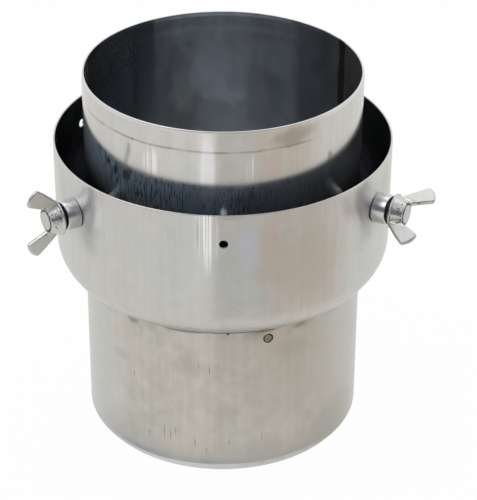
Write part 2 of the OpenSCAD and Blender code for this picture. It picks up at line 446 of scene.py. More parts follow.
@dataclass
class Effects:
    """The node groups that the finishes share."""

    axes: bpy.types.NodeTree = field(init=False)
    grain: bpy.types.NodeTree = field(init=False)
    mottle: bpy.types.NodeTree = field(init=False)
    dashes: bpy.types.NodeTree = field(init=False)
    band: bpy.types.NodeTree = field(init=False)
    patch: bpy.types.NodeTree = field(init=False)

    def __post_init__(self) -> None:
        """Builds each group."""
        self.axes = self._axes()
        self.grain = self._grain()
        self.mottle = self._mottle()
        self.dashes = self._dashes()
        self.band = self._band()
        self.patch = self._patch()

    @staticmethod
    def _axes() -> bpy.types.NodeTree:
        """Places on the flue: azimuth in degrees, height and radius in metres, and inside walls.

        Inside is 1 where the normal points to the axis: where (x nx + y ny) / r
        falls below -0.5, easing from -0.2.
        """
        effect = EffectGroup(
            "Flue axes",
            {"Vector": "Vector", "Normal": "Vector"},
            {"Azimuth": "Float", "Height": "Float", "Radius": "Float", "Inside": "Float"},
        )
        bench = effect.bench
        split = bench.add("ShaderNodeSeparateXYZ")
        bench.feed(split.inputs[0], effect.given["Vector"])
        x, y, z = split.outputs
        angle = bench.math("ARCTAN2", x, bench.math("MULTIPLY", y, -1.0))
        effect.give("Azimuth", bench.math("DEGREES", angle))
        effect.give("Height", z)
        square = bench.math("ADD", bench.math("MULTIPLY", x, x), bench.math("MULTIPLY", y, y))
        radius = bench.math("SQRT", square)
        effect.give("Radius", radius)
        facing = bench.add("ShaderNodeSeparateXYZ")
        bench.feed(facing.inputs[0], effect.given["Normal"])
        across = bench.math("MULTIPLY", x, facing.outputs[0])
        outward = bench.math("MULTIPLY_ADD", y, facing.outputs[1], across)
        effect.give("Inside", bench.ease(bench.math("DIVIDE", outward, radius), -0.2, -0.5))
        return effect.tree

    @staticmethod
    def _grain() -> bpy.types.NodeTree:
        """Brushed grain: coarse and fine noise on stretched coordinates."""
        effect = EffectGroup("Brushed grain", {"Vector": "Vector", "Fineness": "Float"}, {"Grain": "Float"})
        bench = effect.bench
        coarse = bench.noise(effect.given["Vector"], effect.given["Fineness"], 2.0, 0.6)
        finer = bench.math("MULTIPLY", effect.given["Fineness"], 2.7)
        fine = bench.noise(effect.given["Vector"], finer, 1.0, 0.5)
        both = bench.math("ADD", bench.math("MULTIPLY", coarse, 0.6), bench.math("MULTIPLY", fine, 0.4))
        effect.give("Grain", bench.ease(both, 0.3, 0.7))
        return effect.tree

    @staticmethod
    def _mottle() -> bpy.types.NodeTree:
        """Cloudy handling marks of two sizes, as light and as stain."""
        effect = EffectGroup(
            "Handling mottle", {"Vector": "Vector", "Size": "Float"}, {"Cloud": "Float", "Stain": "Float"}
        )
        bench = effect.bench
        wide = bench.noise(effect.given["Vector"], effect.given["Size"], 3.0, 0.5)
        small = bench.noise(effect.given["Vector"], bench.math("MULTIPLY", effect.given["Size"], 3.3), 3.0, 0.6)
        effect.give("Cloud", bench.ease(wide, 0.32, 0.68))
        effect.give("Stain", bench.ease(bench.math("MULTIPLY", wide, small), 0.14, 0.42))
        return effect.tree

    @staticmethod
    def _dashes() -> bpy.types.NodeTree:
        """Sparse short marks: stretched noise past a threshold."""
        effect = EffectGroup(
            "Short scratches", {"Vector": "Vector", "Fineness": "Float", "Sparseness": "Float"}, {"Mark": "Float"}
        )
        bench = effect.bench
        value = bench.noise(effect.given["Vector"], effect.given["Fineness"], 1.0, 0.5)
        start = effect.given["Sparseness"]
        effect.give("Mark", bench.ease(value, start, bench.math("ADD", start, 0.03)))
        return effect.tree

    @staticmethod
    def _band() -> bpy.types.NodeTree:
        """Soft-edged band round a centre value: 1 inside, 0 outside."""
        effect = EffectGroup(
            "Soft band",
            {"Value": "Float", "Centre": "Float", "Half width": "Float", "Softness": "Float"},
            {"Mask": "Float"},
        )
        bench = effect.bench
        away = bench.math("ABSOLUTE", bench.math("SUBTRACT", effect.given["Value"], effect.given["Centre"]))
        edge = bench.math("ADD", effect.given["Half width"], effect.given["Softness"])
        effect.give("Mask", bench.ease(away, effect.given["Half width"], edge, 1.0, 0.0))
        return effect.tree

    @staticmethod
    def _patch() -> bpy.types.NodeTree:
        """Oval patch whose edge lies where sqrt(a^2 + h^2) is 1.

        Here a and h are the offsets over the half sizes, the ragged value is
        added to the root, and the edge eases from 1 + soft to 1 - soft.
        """
        effect = EffectGroup(
            "Soft patch",
            {name: "Float" for name in ("Azimuth", "Height", "Half azimuth", "Half height", "Ragged", "Soft")},
            {"Mask": "Float"},
        )
        bench = effect.bench
        across = bench.math("DIVIDE", effect.given["Azimuth"], effect.given["Half azimuth"])
        along = bench.math("DIVIDE", effect.given["Height"], effect.given["Half height"])
        square = bench.math("ADD", bench.math("MULTIPLY", across, across), bench.math("MULTIPLY", along, along))
        away = bench.math("ADD", bench.math("SQRT", square), effect.given["Ragged"])
        soft = effect.given["Soft"]
        effect.give("Mask", bench.ease(away, bench.math("ADD", soft, 1.0), bench.math("SUBTRACT", 1.0, soft)))
        return effect.tree


@dataclass(frozen=True)
class Patch:
    """A tinted patch on a shell, by its middle's azimuth in degrees and height in metres.

    The share is how much of the colour shows. Streaked patches are drawn out
    along the flue's axis.
    """

    azimuth: float
    height: float
    half_azimuth: float
    half_height: float
    colour: Colour
    share: float
    ragged: float = 0.5
    streaked: bool = False
    soft: float = 0.5

    def mask(self, bench: NodeBench, effects: Effects, place: bpy.types.NodeSocket) -> bpy.types.NodeSocket:
        """Where the patch shows.

        Args:
            bench: The material's node bench.
            effects: The shared node groups.
            place: Object coordinates.

        Returns:
            The mask, up to the patch's share.
        """
        azimuth, height = bench.use(effects.axes, Vector=place).outputs[:2]
        noise = bench.noise(bench.stretched(place, (150.0, 150.0, 110.0)), 1.0, 2.0)
        ragged = bench.math("MULTIPLY_ADD", noise, 2 * self.ragged, -self.ragged)
        oval = bench.use(
            effects.patch,
            Azimuth=bench.math("WRAP", bench.math("SUBTRACT", azimuth, self.azimuth), 180.0, -180.0),
            Height=bench.math("SUBTRACT", height, self.height),
            Half_azimuth=self.half_azimuth,
            Half_height=self.half_height,
            Ragged=ragged,
            Soft=self.soft,
        )
        shown = bench.math("MULTIPLY", oval.outputs[0], self.share)
        if not self.streaked:
            return shown
        lines = bench.noise(bench.stretched(place, (900.0, 900.0, 12.0)), 1.0, 2.0)
        return bench.math("MULTIPLY", shown, bench.ease(lines, 0.42, 0.58))


@dataclass(frozen=True)
class Surface:
    """What a finish works out before its shader.

    Metal is the share of bare metal. The rest scatters light diffusely; on the sleeve's lower outer wall it carries a
    bluish painted sky reflection.
    """

    colour: Feed
    rough: Feed
    relief: Feed
    metal: Feed = 1.0


@dataclass(frozen=True)
class MetalFinish:
    """A bare metal finish: brushed, mottled and marked.

    Grain and band scales are cells to the metre along X, Y and Z. The tones
    are how far each effect moves the colour up and down.
    """

    name: str
    colour: Colour
    cool: Colour
    stain: Colour
    rough: float
    anisotropy: float = 0.0
    turned: float = 0.0
    grain_scale: tuple[float, float, float] = (1500.0, 1500.0, 30.0)
    grain_tone: float = 0.03
    band_scale: tuple[float, float, float] = (240.0, 240.0, 5.0)
    band_tone: float = 0.03
    grain_rough: float = 0.03
    relief: float = 0.003
    mottle_size: float = 40.0
    mottle_tone: float = 0.5
    cloud_tone: float = 0.03

    def surface(self, bench: NodeBench, effects: Effects, place: bpy.types.NodeSocket) -> Surface:
        """Base look: colour with grain, bands and mottle, roughness with grain and stain.

        The colour is multiplied by 1 + g (2 grain - 1) + b (2 band - 1) +
        c (2 cloud - 1), with the tones g, b and c.

        Args:
            bench: The material's node bench.
            effects: The shared node groups.
            place: Object coordinates.

        Returns:
            The surface before any marks of its own.
        """
        grain = bench.use(effects.grain, Vector=bench.stretched(place, self.grain_scale), Fineness=1.0).outputs[0]
        band = bench.ease(bench.noise(bench.stretched(place, self.band_scale, (2.0, 5.0, 1.0)), 1.0), 0.3, 0.7)
        cloud, stain = bench.use(effects.mottle, Vector=place, Size=self.mottle_size).outputs
        drift = bench.noise(bench.stretched(place, (1.0, 1.0, 0.7), (4.0, 2.0, 3.0)), self.mottle_size * 0.7, 2.0)
        colour = bench.blend(bench.ease(drift, 0.4, 0.6), self.colour, self.cool)
        colour = bench.blend(bench.math("MULTIPLY", stain, self.mottle_tone), colour, self.stain)
        level = 1 - self.grain_tone - self.band_tone - self.cloud_tone
        tone = bench.math("MULTIPLY_ADD", grain, 2 * self.grain_tone, level)
        tone = bench.math("MULTIPLY_ADD", band, 2 * self.band_tone, tone)
        tone = bench.math("MULTIPLY_ADD", cloud, 2 * self.cloud_tone, tone)
        colour = bench.blend(1.0, colour, tone, "MULTIPLY")
        wander = bench.math("MULTIPLY_ADD", grain, self.grain_rough, self.rough - self.grain_rough / 2)
        rough = bench.math("MULTIPLY_ADD", cloud, 0.03, wander)
        return Surface(colour, rough, grain)

    def marks(self, bench: NodeBench, effects: Effects, place: bpy.types.NodeSocket, base: Surface) -> Surface:
        """The finish's own marks; plain metal has none."""
        return base

    def build(self, effects: Effects) -> bpy.types.Material:
        """Makes the material.

        Args:
            effects: The shared node groups.

        Returns:
            The finished material.
        """
        material = bpy.data.materials.new(self.name)
        material.use_nodes = True
        material.node_tree.nodes.clear()
        bench = NodeBench(material.node_tree)
        place = bench.add("ShaderNodeTexCoord").outputs["Object"]
        surface = self.marks(bench, effects, place, self.surface(bench, effects, place))
        shader = bench.add("ShaderNodeBsdfPrincipled")
        bench.feed(shader.inputs["Metallic"], surface.metal)
        shader.inputs["Anisotropic"].default_value = self.anisotropy
        shader.inputs["Anisotropic Rotation"].default_value = self.turned
        bench.feed(shader.inputs["Base Color"], surface.colour)
        bench.feed(shader.inputs["Roughness"], surface.rough)
        bump = bench.add("ShaderNodeBump")
        bump.inputs["Strength"].default_value = 1.0
        bump.inputs["Distance"].default_value = self.relief * MM
        bench.feed(bump.inputs["Height"], surface.relief)
        bench.feed(shader.inputs["Normal"], bump.outputs[0])
        out = bench.add("ShaderNodeOutputMaterial")
        bench.feed(out.inputs["Surface"], shader.outputs[0])
        return material


@dataclass(frozen=True)
class ShellFinish(MetalFinish):
    """A shell's finish: handled and patched outside; inside, smooth, with painted shade and painted reflections in its
    colour.
    """

    # Inner-wall colours, darker and cooler than the outer steel: painted shade and painted reflection.
    inside_colour: Colour = (0.58, 0.60, 0.62)
    inside_shade: Colour = (0.48, 0.50, 0.53)
    inside_rough: float = 0.2
    inside_metal: float = 1.0
    patches: tuple[Patch, ...] = ()
    inside_patches: tuple[Patch, ...] = ()

    def outside(
        self, bench: NodeBench, effects: Effects, place: bpy.types.NodeSocket, base: Surface
    ) -> Surface:
        """Marks of the outer wall; a plain shell has none but its patches."""
        return base

    def marks(self, bench: NodeBench, effects: Effects, place: bpy.types.NodeSocket, base: Surface) -> Surface:
        """Adds the outer wall's marks and patches, and paints shade and reflections onto the inner wall.

        Args:
            bench: The material's node bench.
            effects: The shared node groups.
            place: Object coordinates.
            base: The plain surface.

        Returns:
            The marked surface.
        """
        normal = bench.add("ShaderNodeTexCoord").outputs["Normal"]
        inside = bench.use(effects.axes, Vector=place, Normal=normal).outputs["Inside"]
        outer = self.outside(bench, effects, place, base)
        colour = outer.colour
        for patch in self.patches:
            colour = bench.blend(patch.mask(bench, effects, place), colour, patch.colour)
        # Inner wall: soft clouds between two painted tones, then patches of painted shade and painted reflection.
        cloud = bench.noise(bench.stretched(place, (1.0, 1.0, 0.6)), 42.0, 5.0, 0.65)
        inside_painted_tone = bench.blend(bench.ease(cloud, 0.38, 0.62), self.inside_shade, self.inside_colour)
        for patch in self.inside_patches:
            inside_painted_tone = bench.blend(patch.mask(bench, effects, place), inside_painted_tone, patch.colour)
        rough = bench.math("MULTIPLY_ADD", inside, bench.math("SUBTRACT", self.inside_rough, outer.rough), outer.rough)
        relief = bench.math("MULTIPLY", outer.relief, bench.math("MULTIPLY_ADD", inside, -0.9, 1.0))
        metal = bench.math("MULTIPLY_ADD", inside, bench.math("SUBTRACT", self.inside_metal, outer.metal), outer.metal)
        return Surface(bench.blend(inside, colour, inside_painted_tone), rough, relief, metal)


@dataclass(frozen=True)
class SleeveFinish(ShellFinish):
    """Rolled sleeve: a painted highlight at the rim, a bruised line under it, dark dashes, a bluish painted sky
    reflection low on the wall and a weld tint.
    """

    line_height: float = 0.1044
    line_from: float = -74.0
    line_to: float = 35.0
    seam_azimuth: float = 116.0
    line_colour: Colour = (0.22, 0.20, 0.17)
    seam_colour: Colour = (0.10, 0.075, 0.055)
    dash_colour: Colour = (0.08, 0.08, 0.085)
    rim_height: float = 0.1134
    rim_colour: Colour = (0.84, 0.84, 0.83)
    # Painted sky reflection low on the outer wall: a bluish diffuse tint and less metal, below a wavy edge raised on
    # the left.
    film_height: float = 0.0875
    film_lift: float = 0.007
    film_colour: Colour = (0.43, 0.58, 0.70)
    film_share: float = 0.32

    def outside(
        self, bench: NodeBench, effects: Effects, place: bpy.types.NodeSocket, base: Surface
    ) -> Surface:
        """Adds the painted highlight at the rim, the line under it, the painted sky reflection and the dashes.

        Args:
            bench: The material's node bench.
            effects: The shared node groups.
            place: Object coordinates.
            base: The plain surface.

        Returns:
            The marked surface.
        """
        azimuth, height = bench.use(effects.axes, Vector=place).outputs[:2]
        wander = bench.math("MULTIPLY_ADD", bench.noise(place, 30.0), 0.0016, -0.0008)
        level = bench.math("ADD", height, wander)
        rim = bench.math("ADD", self.rim_height, bench.math("MULTIPLY", wander, 0.5))
        # Painted highlight: the eased lip under the rim painted lighter.
        lip_highlight = bench.math("MULTIPLY", bench.ease(height, rim, self.rim_height + 0.0008), 0.5)
        colour = bench.blend(lip_highlight, base.colour, self.rim_colour)
        line = bench.use(effects.band, Value=level, Centre=self.line_height, Half_width=0.0002, Softness=0.0008)
        middle = (self.line_from + self.line_to) / 2
        reach = (self.line_to - self.line_from) / 2 - 8.0
        fade = bench.use(effects.band, Value=azimuth, Centre=middle, Half_width=reach, Softness=12.0)
        broken = bench.ease(bench.noise(place, 90.0), 0.3, 0.55, 0.35, 1.0)
        line_mask = bench.math("MULTIPLY", bench.math("MULTIPLY", line.outputs[0], fade.outputs[0]), broken)
        colour = bench.blend(bench.math("MULTIPLY", line_mask, 0.55), colour, self.line_colour)
        stretched = bench.stretched(place, (1900.0, 1900.0, 170.0))
        crowded = bench.ease(bench.noise(place, 40.0), 0.3, 0.65, 0.63, 0.54)
        dash = bench.use(effects.dashes, Vector=stretched, Fineness=1.0, Sparseness=crowded).outputs[0]
        # Painted sky reflection: its top edge, raised on the left, fading downwards and strongest at the front.
        left = bench.use(effects.band, Value=azimuth, Centre=-78.0, Half_width=6.0, Softness=40.0).outputs[0]
        lift = bench.math("MULTIPLY_ADD", left, self.film_lift, self.film_height)
        edge = bench.math("ADD", lift, bench.math("MULTIPLY", wander, 1.5))
        below = bench.math("SUBTRACT", edge, height)
        low = bench.ease(below, -0.001, 0.006)
        front = bench.use(effects.band, Value=azimuth, Centre=-20.0, Half_width=32.0, Softness=55.0).outputs[0]
        sky_reflection = bench.math("MULTIPLY", low, bench.ease(below, 0.032, 0.011))
        sky_reflection = bench.math("MULTIPLY", sky_reflection, bench.math("MULTIPLY_ADD", front, 0.75, 0.25))
        colour = bench.blend(sky_reflection, colour, self.film_colour)
        # Dark dashes: grain marks, shown only where the dark gap is mirrored, so partly painted reflection.
        dash_zone = bench.math("MULTIPLY", bench.ease(below, 0.0, 0.004), bench.math("MULTIPLY_ADD", front, 0.85, 0.1))
        dash_mask = bench.math("MULTIPLY", dash, dash_zone)
        colour = bench.blend(dash_mask, colour, self.dash_colour)
        relief = bench.math("SUBTRACT", base.relief, bench.math("MULTIPLY", line_mask, 2.0))
        return Surface(colour, base.rough, relief, bench.math("MULTIPLY_ADD", sky_reflection, -self.film_share, 1.0))

    def marks(self, bench: NodeBench, effects: Effects, place: bpy.types.NodeSocket, base: Surface) -> Surface:
        """Adds the brown tint of the seam to the shell's marks, stronger on the inner wall."""
        shell = super().marks(bench, effects, place, base)
        normal = bench.add("ShaderNodeTexCoord").outputs["Normal"]
        axes = bench.use(effects.axes, Vector=place, Normal=normal).outputs
        azimuth, share = axes["Azimuth"], bench.math("MULTIPLY_ADD", axes["Inside"], 0.6, 0.25)
        ragged = bench.math("MULTIPLY_ADD", bench.noise(place, 160.0, 3.0), 2.4, -1.2)
        seam = bench.use(
            effects.band,
            Value=bench.math("ADD", azimuth, ragged),
            Centre=self.seam_azimuth,
            Half_width=1.6,
            Softness=1.6,
        )
        colour = bench.blend(bench.math("MULTIPLY", seam.outputs[0], share), shell.colour, self.seam_colour)
        return Surface(colour, shell.rough, shell.relief, shell.metal)


@dataclass(frozen=True)
class CollarFinish(ShellFinish):
    """Spun collar: a painted highlight along its lower edge, above a crease darkened with painted shade."""

    crease_colour: Colour = (0.10, 0.095, 0.085)
    edge_colour: Colour = (0.86, 0.86, 0.85)
    edge_height: float = 0.0013
    boss_azimuth: float = 60.0
    boss_height: float = 0.0564
    scuff_rough: float = 0.16

    def outside(
        self, bench: NodeBench, effects: Effects, place: bpy.types.NodeSocket, base: Surface
    ) -> Surface:
        """Adds the painted highlight at the lower edge and the painted shade of the crease under it.

        Args:
            bench: The material's node bench.
            effects: The shared node groups.
            place: Object coordinates.
            base: The plain surface.

        Returns:
            The marked surface.
        """
        azimuth, height = bench.use(effects.axes, Vector=place).outputs[:2]
        uneven = bench.ease(bench.noise(place, 45.0), 0.3, 0.6, 0.4, 1.0)
        # Painted highlight: a light band along the lower edge.
        edge = bench.use(effects.band, Value=height, Centre=self.edge_height, Half_width=0.0003, Softness=0.0006)
        colour = bench.blend(bench.math("MULTIPLY", edge.outputs[0], 0.55), base.colour, self.edge_colour)
        # Painted shade: the crease at the foot of the cone darkened, unevenly.
        crease = bench.math("MULTIPLY", bench.ease(height, 0.0008, 0.0002), uneven)
        side = bench.math("ABSOLUTE", azimuth)
        near = bench.use(effects.band, Value=side, Centre=self.boss_azimuth, Half_width=8.0, Softness=9.0)
        level = bench.use(effects.band, Value=height, Centre=self.boss_height, Half_width=0.011, Softness=0.012)
        scuff = bench.math("MULTIPLY", near.outputs[0], level.outputs[0])
        rough = bench.math("MULTIPLY_ADD", scuff, self.scuff_rough, base.rough)
        return Surface(bench.blend(crease, colour, self.crease_colour), rough, base.relief)


@dataclass(frozen=True)
class SpigotFinish(ShellFinish):
    """Rolled spigot: thin scratches, a cloudy darker band under the crease, painted shade in the crease and above the
    foot, and a painted highlight on the turned-in edge.

    Scratches are (azimuth in degrees, height, half length), in metres.
    """

    seam_azimuth: float = 116.0
    smudge_colour: Colour = (0.33, 0.35, 0.30)
    crease_colour: Colour = (0.10, 0.095, 0.085)
    seam_colour: Colour = (0.25, 0.19, 0.13)
    foot_height: float = -0.0843
    foot_colour: Colour = (0.32, 0.355, 0.38)
    edge_colour: Colour = (0.72, 0.72, 0.70)
    scratch_colour: Colour = (0.12, 0.115, 0.11)
    scratches: tuple[tuple[float, float, float], ...] = (
        (-41.2, -0.0363, 0.0018),
        (-12.0, -0.0213, 0.0014),
        (-7.6, -0.0238, 0.0022),
        (-34.0, -0.0713, 0.0014),
        (-27.0, -0.0672, 0.0046),
        (-24.2, -0.0690, 0.0030),
        (-21.9, -0.0655, 0.0036),
        (-13.7, -0.0713, 0.0026),
        (-9.0, -0.0755, 0.0016),
        (0.3, -0.0705, 0.0018),
        (13.9, -0.0690, 0.0030),
        (27.3, -0.0810, 0.0024),
    )

    def outside(
        self, bench: NodeBench, effects: Effects, place: bpy.types.NodeSocket, base: Surface
    ) -> Surface:
        """Adds scratches, the darker band under the crease, the crease's painted shade, the painted shade above the
        foot and the painted highlight on the edge.

        Args:
            bench: The material's node bench.
            effects: The shared node groups.
            place: Object coordinates.
            base: The plain surface.

        Returns:
            The marked surface.
        """
        azimuth, height = bench.use(effects.axes, Vector=place).outputs[:2]
        colour = base.colour
        for turn, level, half in self.scratches:
            mark = Patch(turn, level, 0.17, half, self.scratch_colour, 0.62, 0.6)
            colour = bench.blend(mark.mask(bench, effects, place), colour, mark.colour)
        # A cloudy darker band just under the crease.
        under = bench.use(effects.band, Value=height, Centre=-0.0008, Half_width=0.0008, Softness=0.006)
        cloud = bench.ease(bench.noise(bench.stretched(place, (1, 1, 0.4)), 60.0, 3.0), 0.46, 0.64)
        under_crease_band = bench.math("MULTIPLY", bench.math("MULTIPLY", under.outputs[0], cloud), 0.6)
        colour = bench.blend(under_crease_band, colour, self.smudge_colour)
        # Painted shade: the crease under the collar darkened.
        crease = bench.math("MULTIPLY", bench.ease(height, -0.0010, -0.0003), 0.85)
        colour = bench.blend(crease, colour, self.crease_colour)
        wander = bench.math("MULTIPLY_ADD", bench.noise(place, 24.0), 0.0024, -0.0012)
        level = bench.math("ADD", height, wander)
        # Painted shade: darker towards the foot.
        faint = bench.math("MULTIPLY", bench.ease(height, -0.071, self.foot_height), 0.3)
        colour = bench.blend(faint, colour, self.foot_colour)
        uneven = bench.ease(bench.noise(place, 30.0, 3.0), 0.35, 0.6, 0.3, 0.85)
        # Painted shade: an uneven bluish-grey band just above the foot.
        shade_above_foot = bench.ease(level, self.foot_height + 0.0045, self.foot_height)
        colour = bench.blend(bench.math("MULTIPLY", shade_above_foot, uneven), colour, self.foot_colour)
        # Painted highlight: the turned-in edge painted lighter.
        turned_edge_highlight = bench.ease(level, self.foot_height, self.foot_height - 0.0012)
        colour = bench.blend(turned_edge_highlight, colour, self.edge_colour)
        seam = bench.use(effects.band, Value=azimuth, Centre=self.seam_azimuth, Half_width=0.4, Softness=2.0)
        colour = bench.blend(bench.math("MULTIPLY", seam.outputs[0], 0.2), colour, self.seam_colour)
        return Surface(colour, base.rough, base.relief)


@dataclass(frozen=True)
class HeadFinish(MetalFinish):
    """Cast wing head: polished hub, satin wings, dark pits on the hub, painted shade in the groove and under the
    flange.
    """

    hub_rough: float = 0.12
    hub_waves: float = 9.0
    pit_share: float = 0.7
    hub_radius: float = 0.0094
    groove_radius: float = 0.0055
    groove_height: float = 0.0056
    # Dark colour for the hub's pits and for the painted shade in the groove and under the flange.
    dirt: Colour = (0.05, 0.045, 0.045)

    def marks(self, bench: NodeBench, effects: Effects, place: bpy.types.NodeSocket, base: Surface) -> Surface:
        """Polishes the hub, adds dark pits, and paints shade into the groove and onto the flange's underside.

        Args:
            bench: The material's node bench.
            effects: The shared node groups.
            place: Object coordinates.
            base: The plain surface.

        Returns:
            The marked surface.
        """
        local = bench.add("ShaderNodeAttribute", attribute_name="Local").outputs["Vector"]
        height, radius = bench.use(effects.axes, Vector=local).outputs[1:3]
        hub = bench.ease(radius, self.hub_radius, self.hub_radius - 0.0008)
        rough = bench.math("MULTIPLY_ADD", hub, bench.math("SUBTRACT", self.hub_rough, base.rough), base.rough)
        wander = bench.math("MULTIPLY_ADD", bench.noise(place, 600.0, 3.0, 0.6), 0.0022, -0.0011)
        ring = bench.use(
            effects.band,
            Value=bench.math("ADD", radius, wander),
            Centre=self.groove_radius,
            Half_width=0.0003,
            Softness=0.0003,
        )
        raised = bench.ease(height, self.groove_height - 0.0006, self.groove_height)
        # Painted shade: the groove round the stud's riveted end, and the flange's underside, darkened.
        groove = bench.math("MULTIPLY", bench.math("MULTIPLY", ring.outputs[0], raised), 0.85)
        under = bench.ease(height, 0.0004, 0.0001)
        pits = bench.math("MULTIPLY", bench.ease(bench.noise(place, 480.0), 0.59, 0.67), hub)
        colour = bench.blend(bench.math("MULTIPLY", pits, self.pit_share), base.colour, self.dirt)
        colour = bench.blend(bench.math("MAXIMUM", groove, under), colour, self.dirt)
        waves = bench.math("MULTIPLY", bench.noise(place, 260.0), bench.math("MULTIPLY", hub, self.hub_waves))
        return Surface(colour, rough, bench.math("ADD", base.relief, waves))


@dataclass(frozen=True)
class BossFinish(MetalFinish):
    """Turned boss whose outer end is darkened as painted shade of the gap under the wing head."""

    end_height: float = 0.0081
    # Colour of the painted shade on the outer end.
    dirt: Colour = (0.06, 0.057, 0.055)

    def marks(self, bench: NodeBench, effects: Effects, place: bpy.types.NodeSocket, base: Surface) -> Surface:
        """Darkens the boss's outer end: painted shade of the gap under the wing head.

        Args:
            bench: The material's node bench.
            effects: The shared node groups.
            place: Object coordinates.
            base: The plain surface.

        Returns:
            The marked surface.
        """
        local = bench.add("ShaderNodeAttribute", attribute_name="Local").outputs["Vector"]
        height = bench.use(effects.axes, Vector=local).outputs[1]
        end = bench.ease(height, self.end_height - 0.0004, self.end_height - 0.0001)
        return Surface(bench.blend(end, base.colour, self.dirt), base.rough, base.relief)


@dataclass(frozen=True)
class SpotWeldFinish(MetalFinish):
    """Electrode mark of a spot weld: brown rings of oxide, by distance from its middle."""

    oxide: Colour = (0.05, 0.034, 0.022)

    def marks(self, bench: NodeBench, effects: Effects, place: bpy.types.NodeSocket, base: Surface) -> Surface:
        """Darkens two rings, read from the piece's own UV map.

        Args:
            bench: The material's node bench.
            effects: The shared node groups.
            place: Object coordinates.
            base: The plain surface.

        Returns:
            The marked surface.
        """
        split = bench.add("ShaderNodeSeparateXYZ")
        bench.feed(split.inputs[0], bench.add("ShaderNodeUVMap", uv_map="Surface").outputs[0])
        away = split.outputs[1]
        outer = bench.use(effects.band, Value=away, Centre=0.82, Half_width=0.13, Softness=0.12).outputs[0]
        inner = bench.use(effects.band, Value=away, Centre=0.32, Half_width=0.13, Softness=0.1).outputs[0]
        uneven = bench.ease(bench.noise(place, 500.0), 0.3, 0.6, 0.55, 1.0)
        rings = bench.math("MULTIPLY", bench.math("ADD", outer, bench.math("MULTIPLY", inner, 0.8), clamp=True), uneven)
        return Surface(bench.blend(rings, base.colour, self.oxide), base.rough, base.relief)


# ------------------------------------------------------------------ pieces


@dataclass(frozen=True)
class OutOfRound:
    """Slight flat spots of rolled sheet, always inwards from the true radius.

    The radius loses depth * (1 + cos(lobes * azimuth + lean * height)) / 2.
    """

    depth: float = 0.00012
    lobes: tuple[int, int] = (5, 9)
    lean: tuple[float, float] = (14.0, -31.0)

    def apply(self, points: np.ndarray) -> np.ndarray:
        """Moves grid points inwards by the flat spots' depth.

        Args:
            points: Grid of points, shape (rows, columns, 3).

        Returns:
            The grid with its radii changed.
        """
        azimuth = np.arctan2(points[..., 0], -points[..., 1])
        waves = [
            (1 + np.cos(n * azimuth + lean * points[..., 2])) / 2 for n, lean in zip(self.lobes, self.lean)
        ]
        radius = np.hypot(points[..., 0], points[..., 1])
        share = 1 - self.depth * (0.7 * waves[0] + 0.3 * waves[1]) / np.maximum(radius, 1e-6)
        return np.concatenate([points[..., :2] * share[..., None], points[..., 2:]], -1)


@dataclass
class Shell:
    """A revolved sheet-metal shell that stands for one CAD node."""

    node: str
    name: str
    slot: str
    finish: MetalFinish
    columns: int = 384
    row_gap: float = 0.003
    warp: OutOfRound = field(default_factory=OutOfRound)

    def corners(self) -> list[tuple[float, float, float]]:
        """Section's corners as (radius, height, corner radius), in metres."""
        raise NotImplementedError

    def build(self, effects: Effects) -> bpy.types.Object:
        """Revolves the section and rides it on the adaptor.

        Args:
            effects: The shared node groups.

        Returns:
            The shell.
        """
        outline = spaced(rounded_outline(self.corners()), self.row_gap)
        points = self.warp.apply(revolved(outline, self.columns))
        mesh = grid_mesh(self.name, points, RowEnds.LOOP)
        piece = as_object(self.name, mesh, self.finish.build(effects))
        self.pierce(piece)
        sharpen(piece.data, 40.0)
        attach(piece, "adaptor")
        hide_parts(self.node)
        report(piece)
        return piece

    def pierce(self, piece: bpy.types.Object) -> None:
        """Cuts the shell's holes; a plain shell has none."""


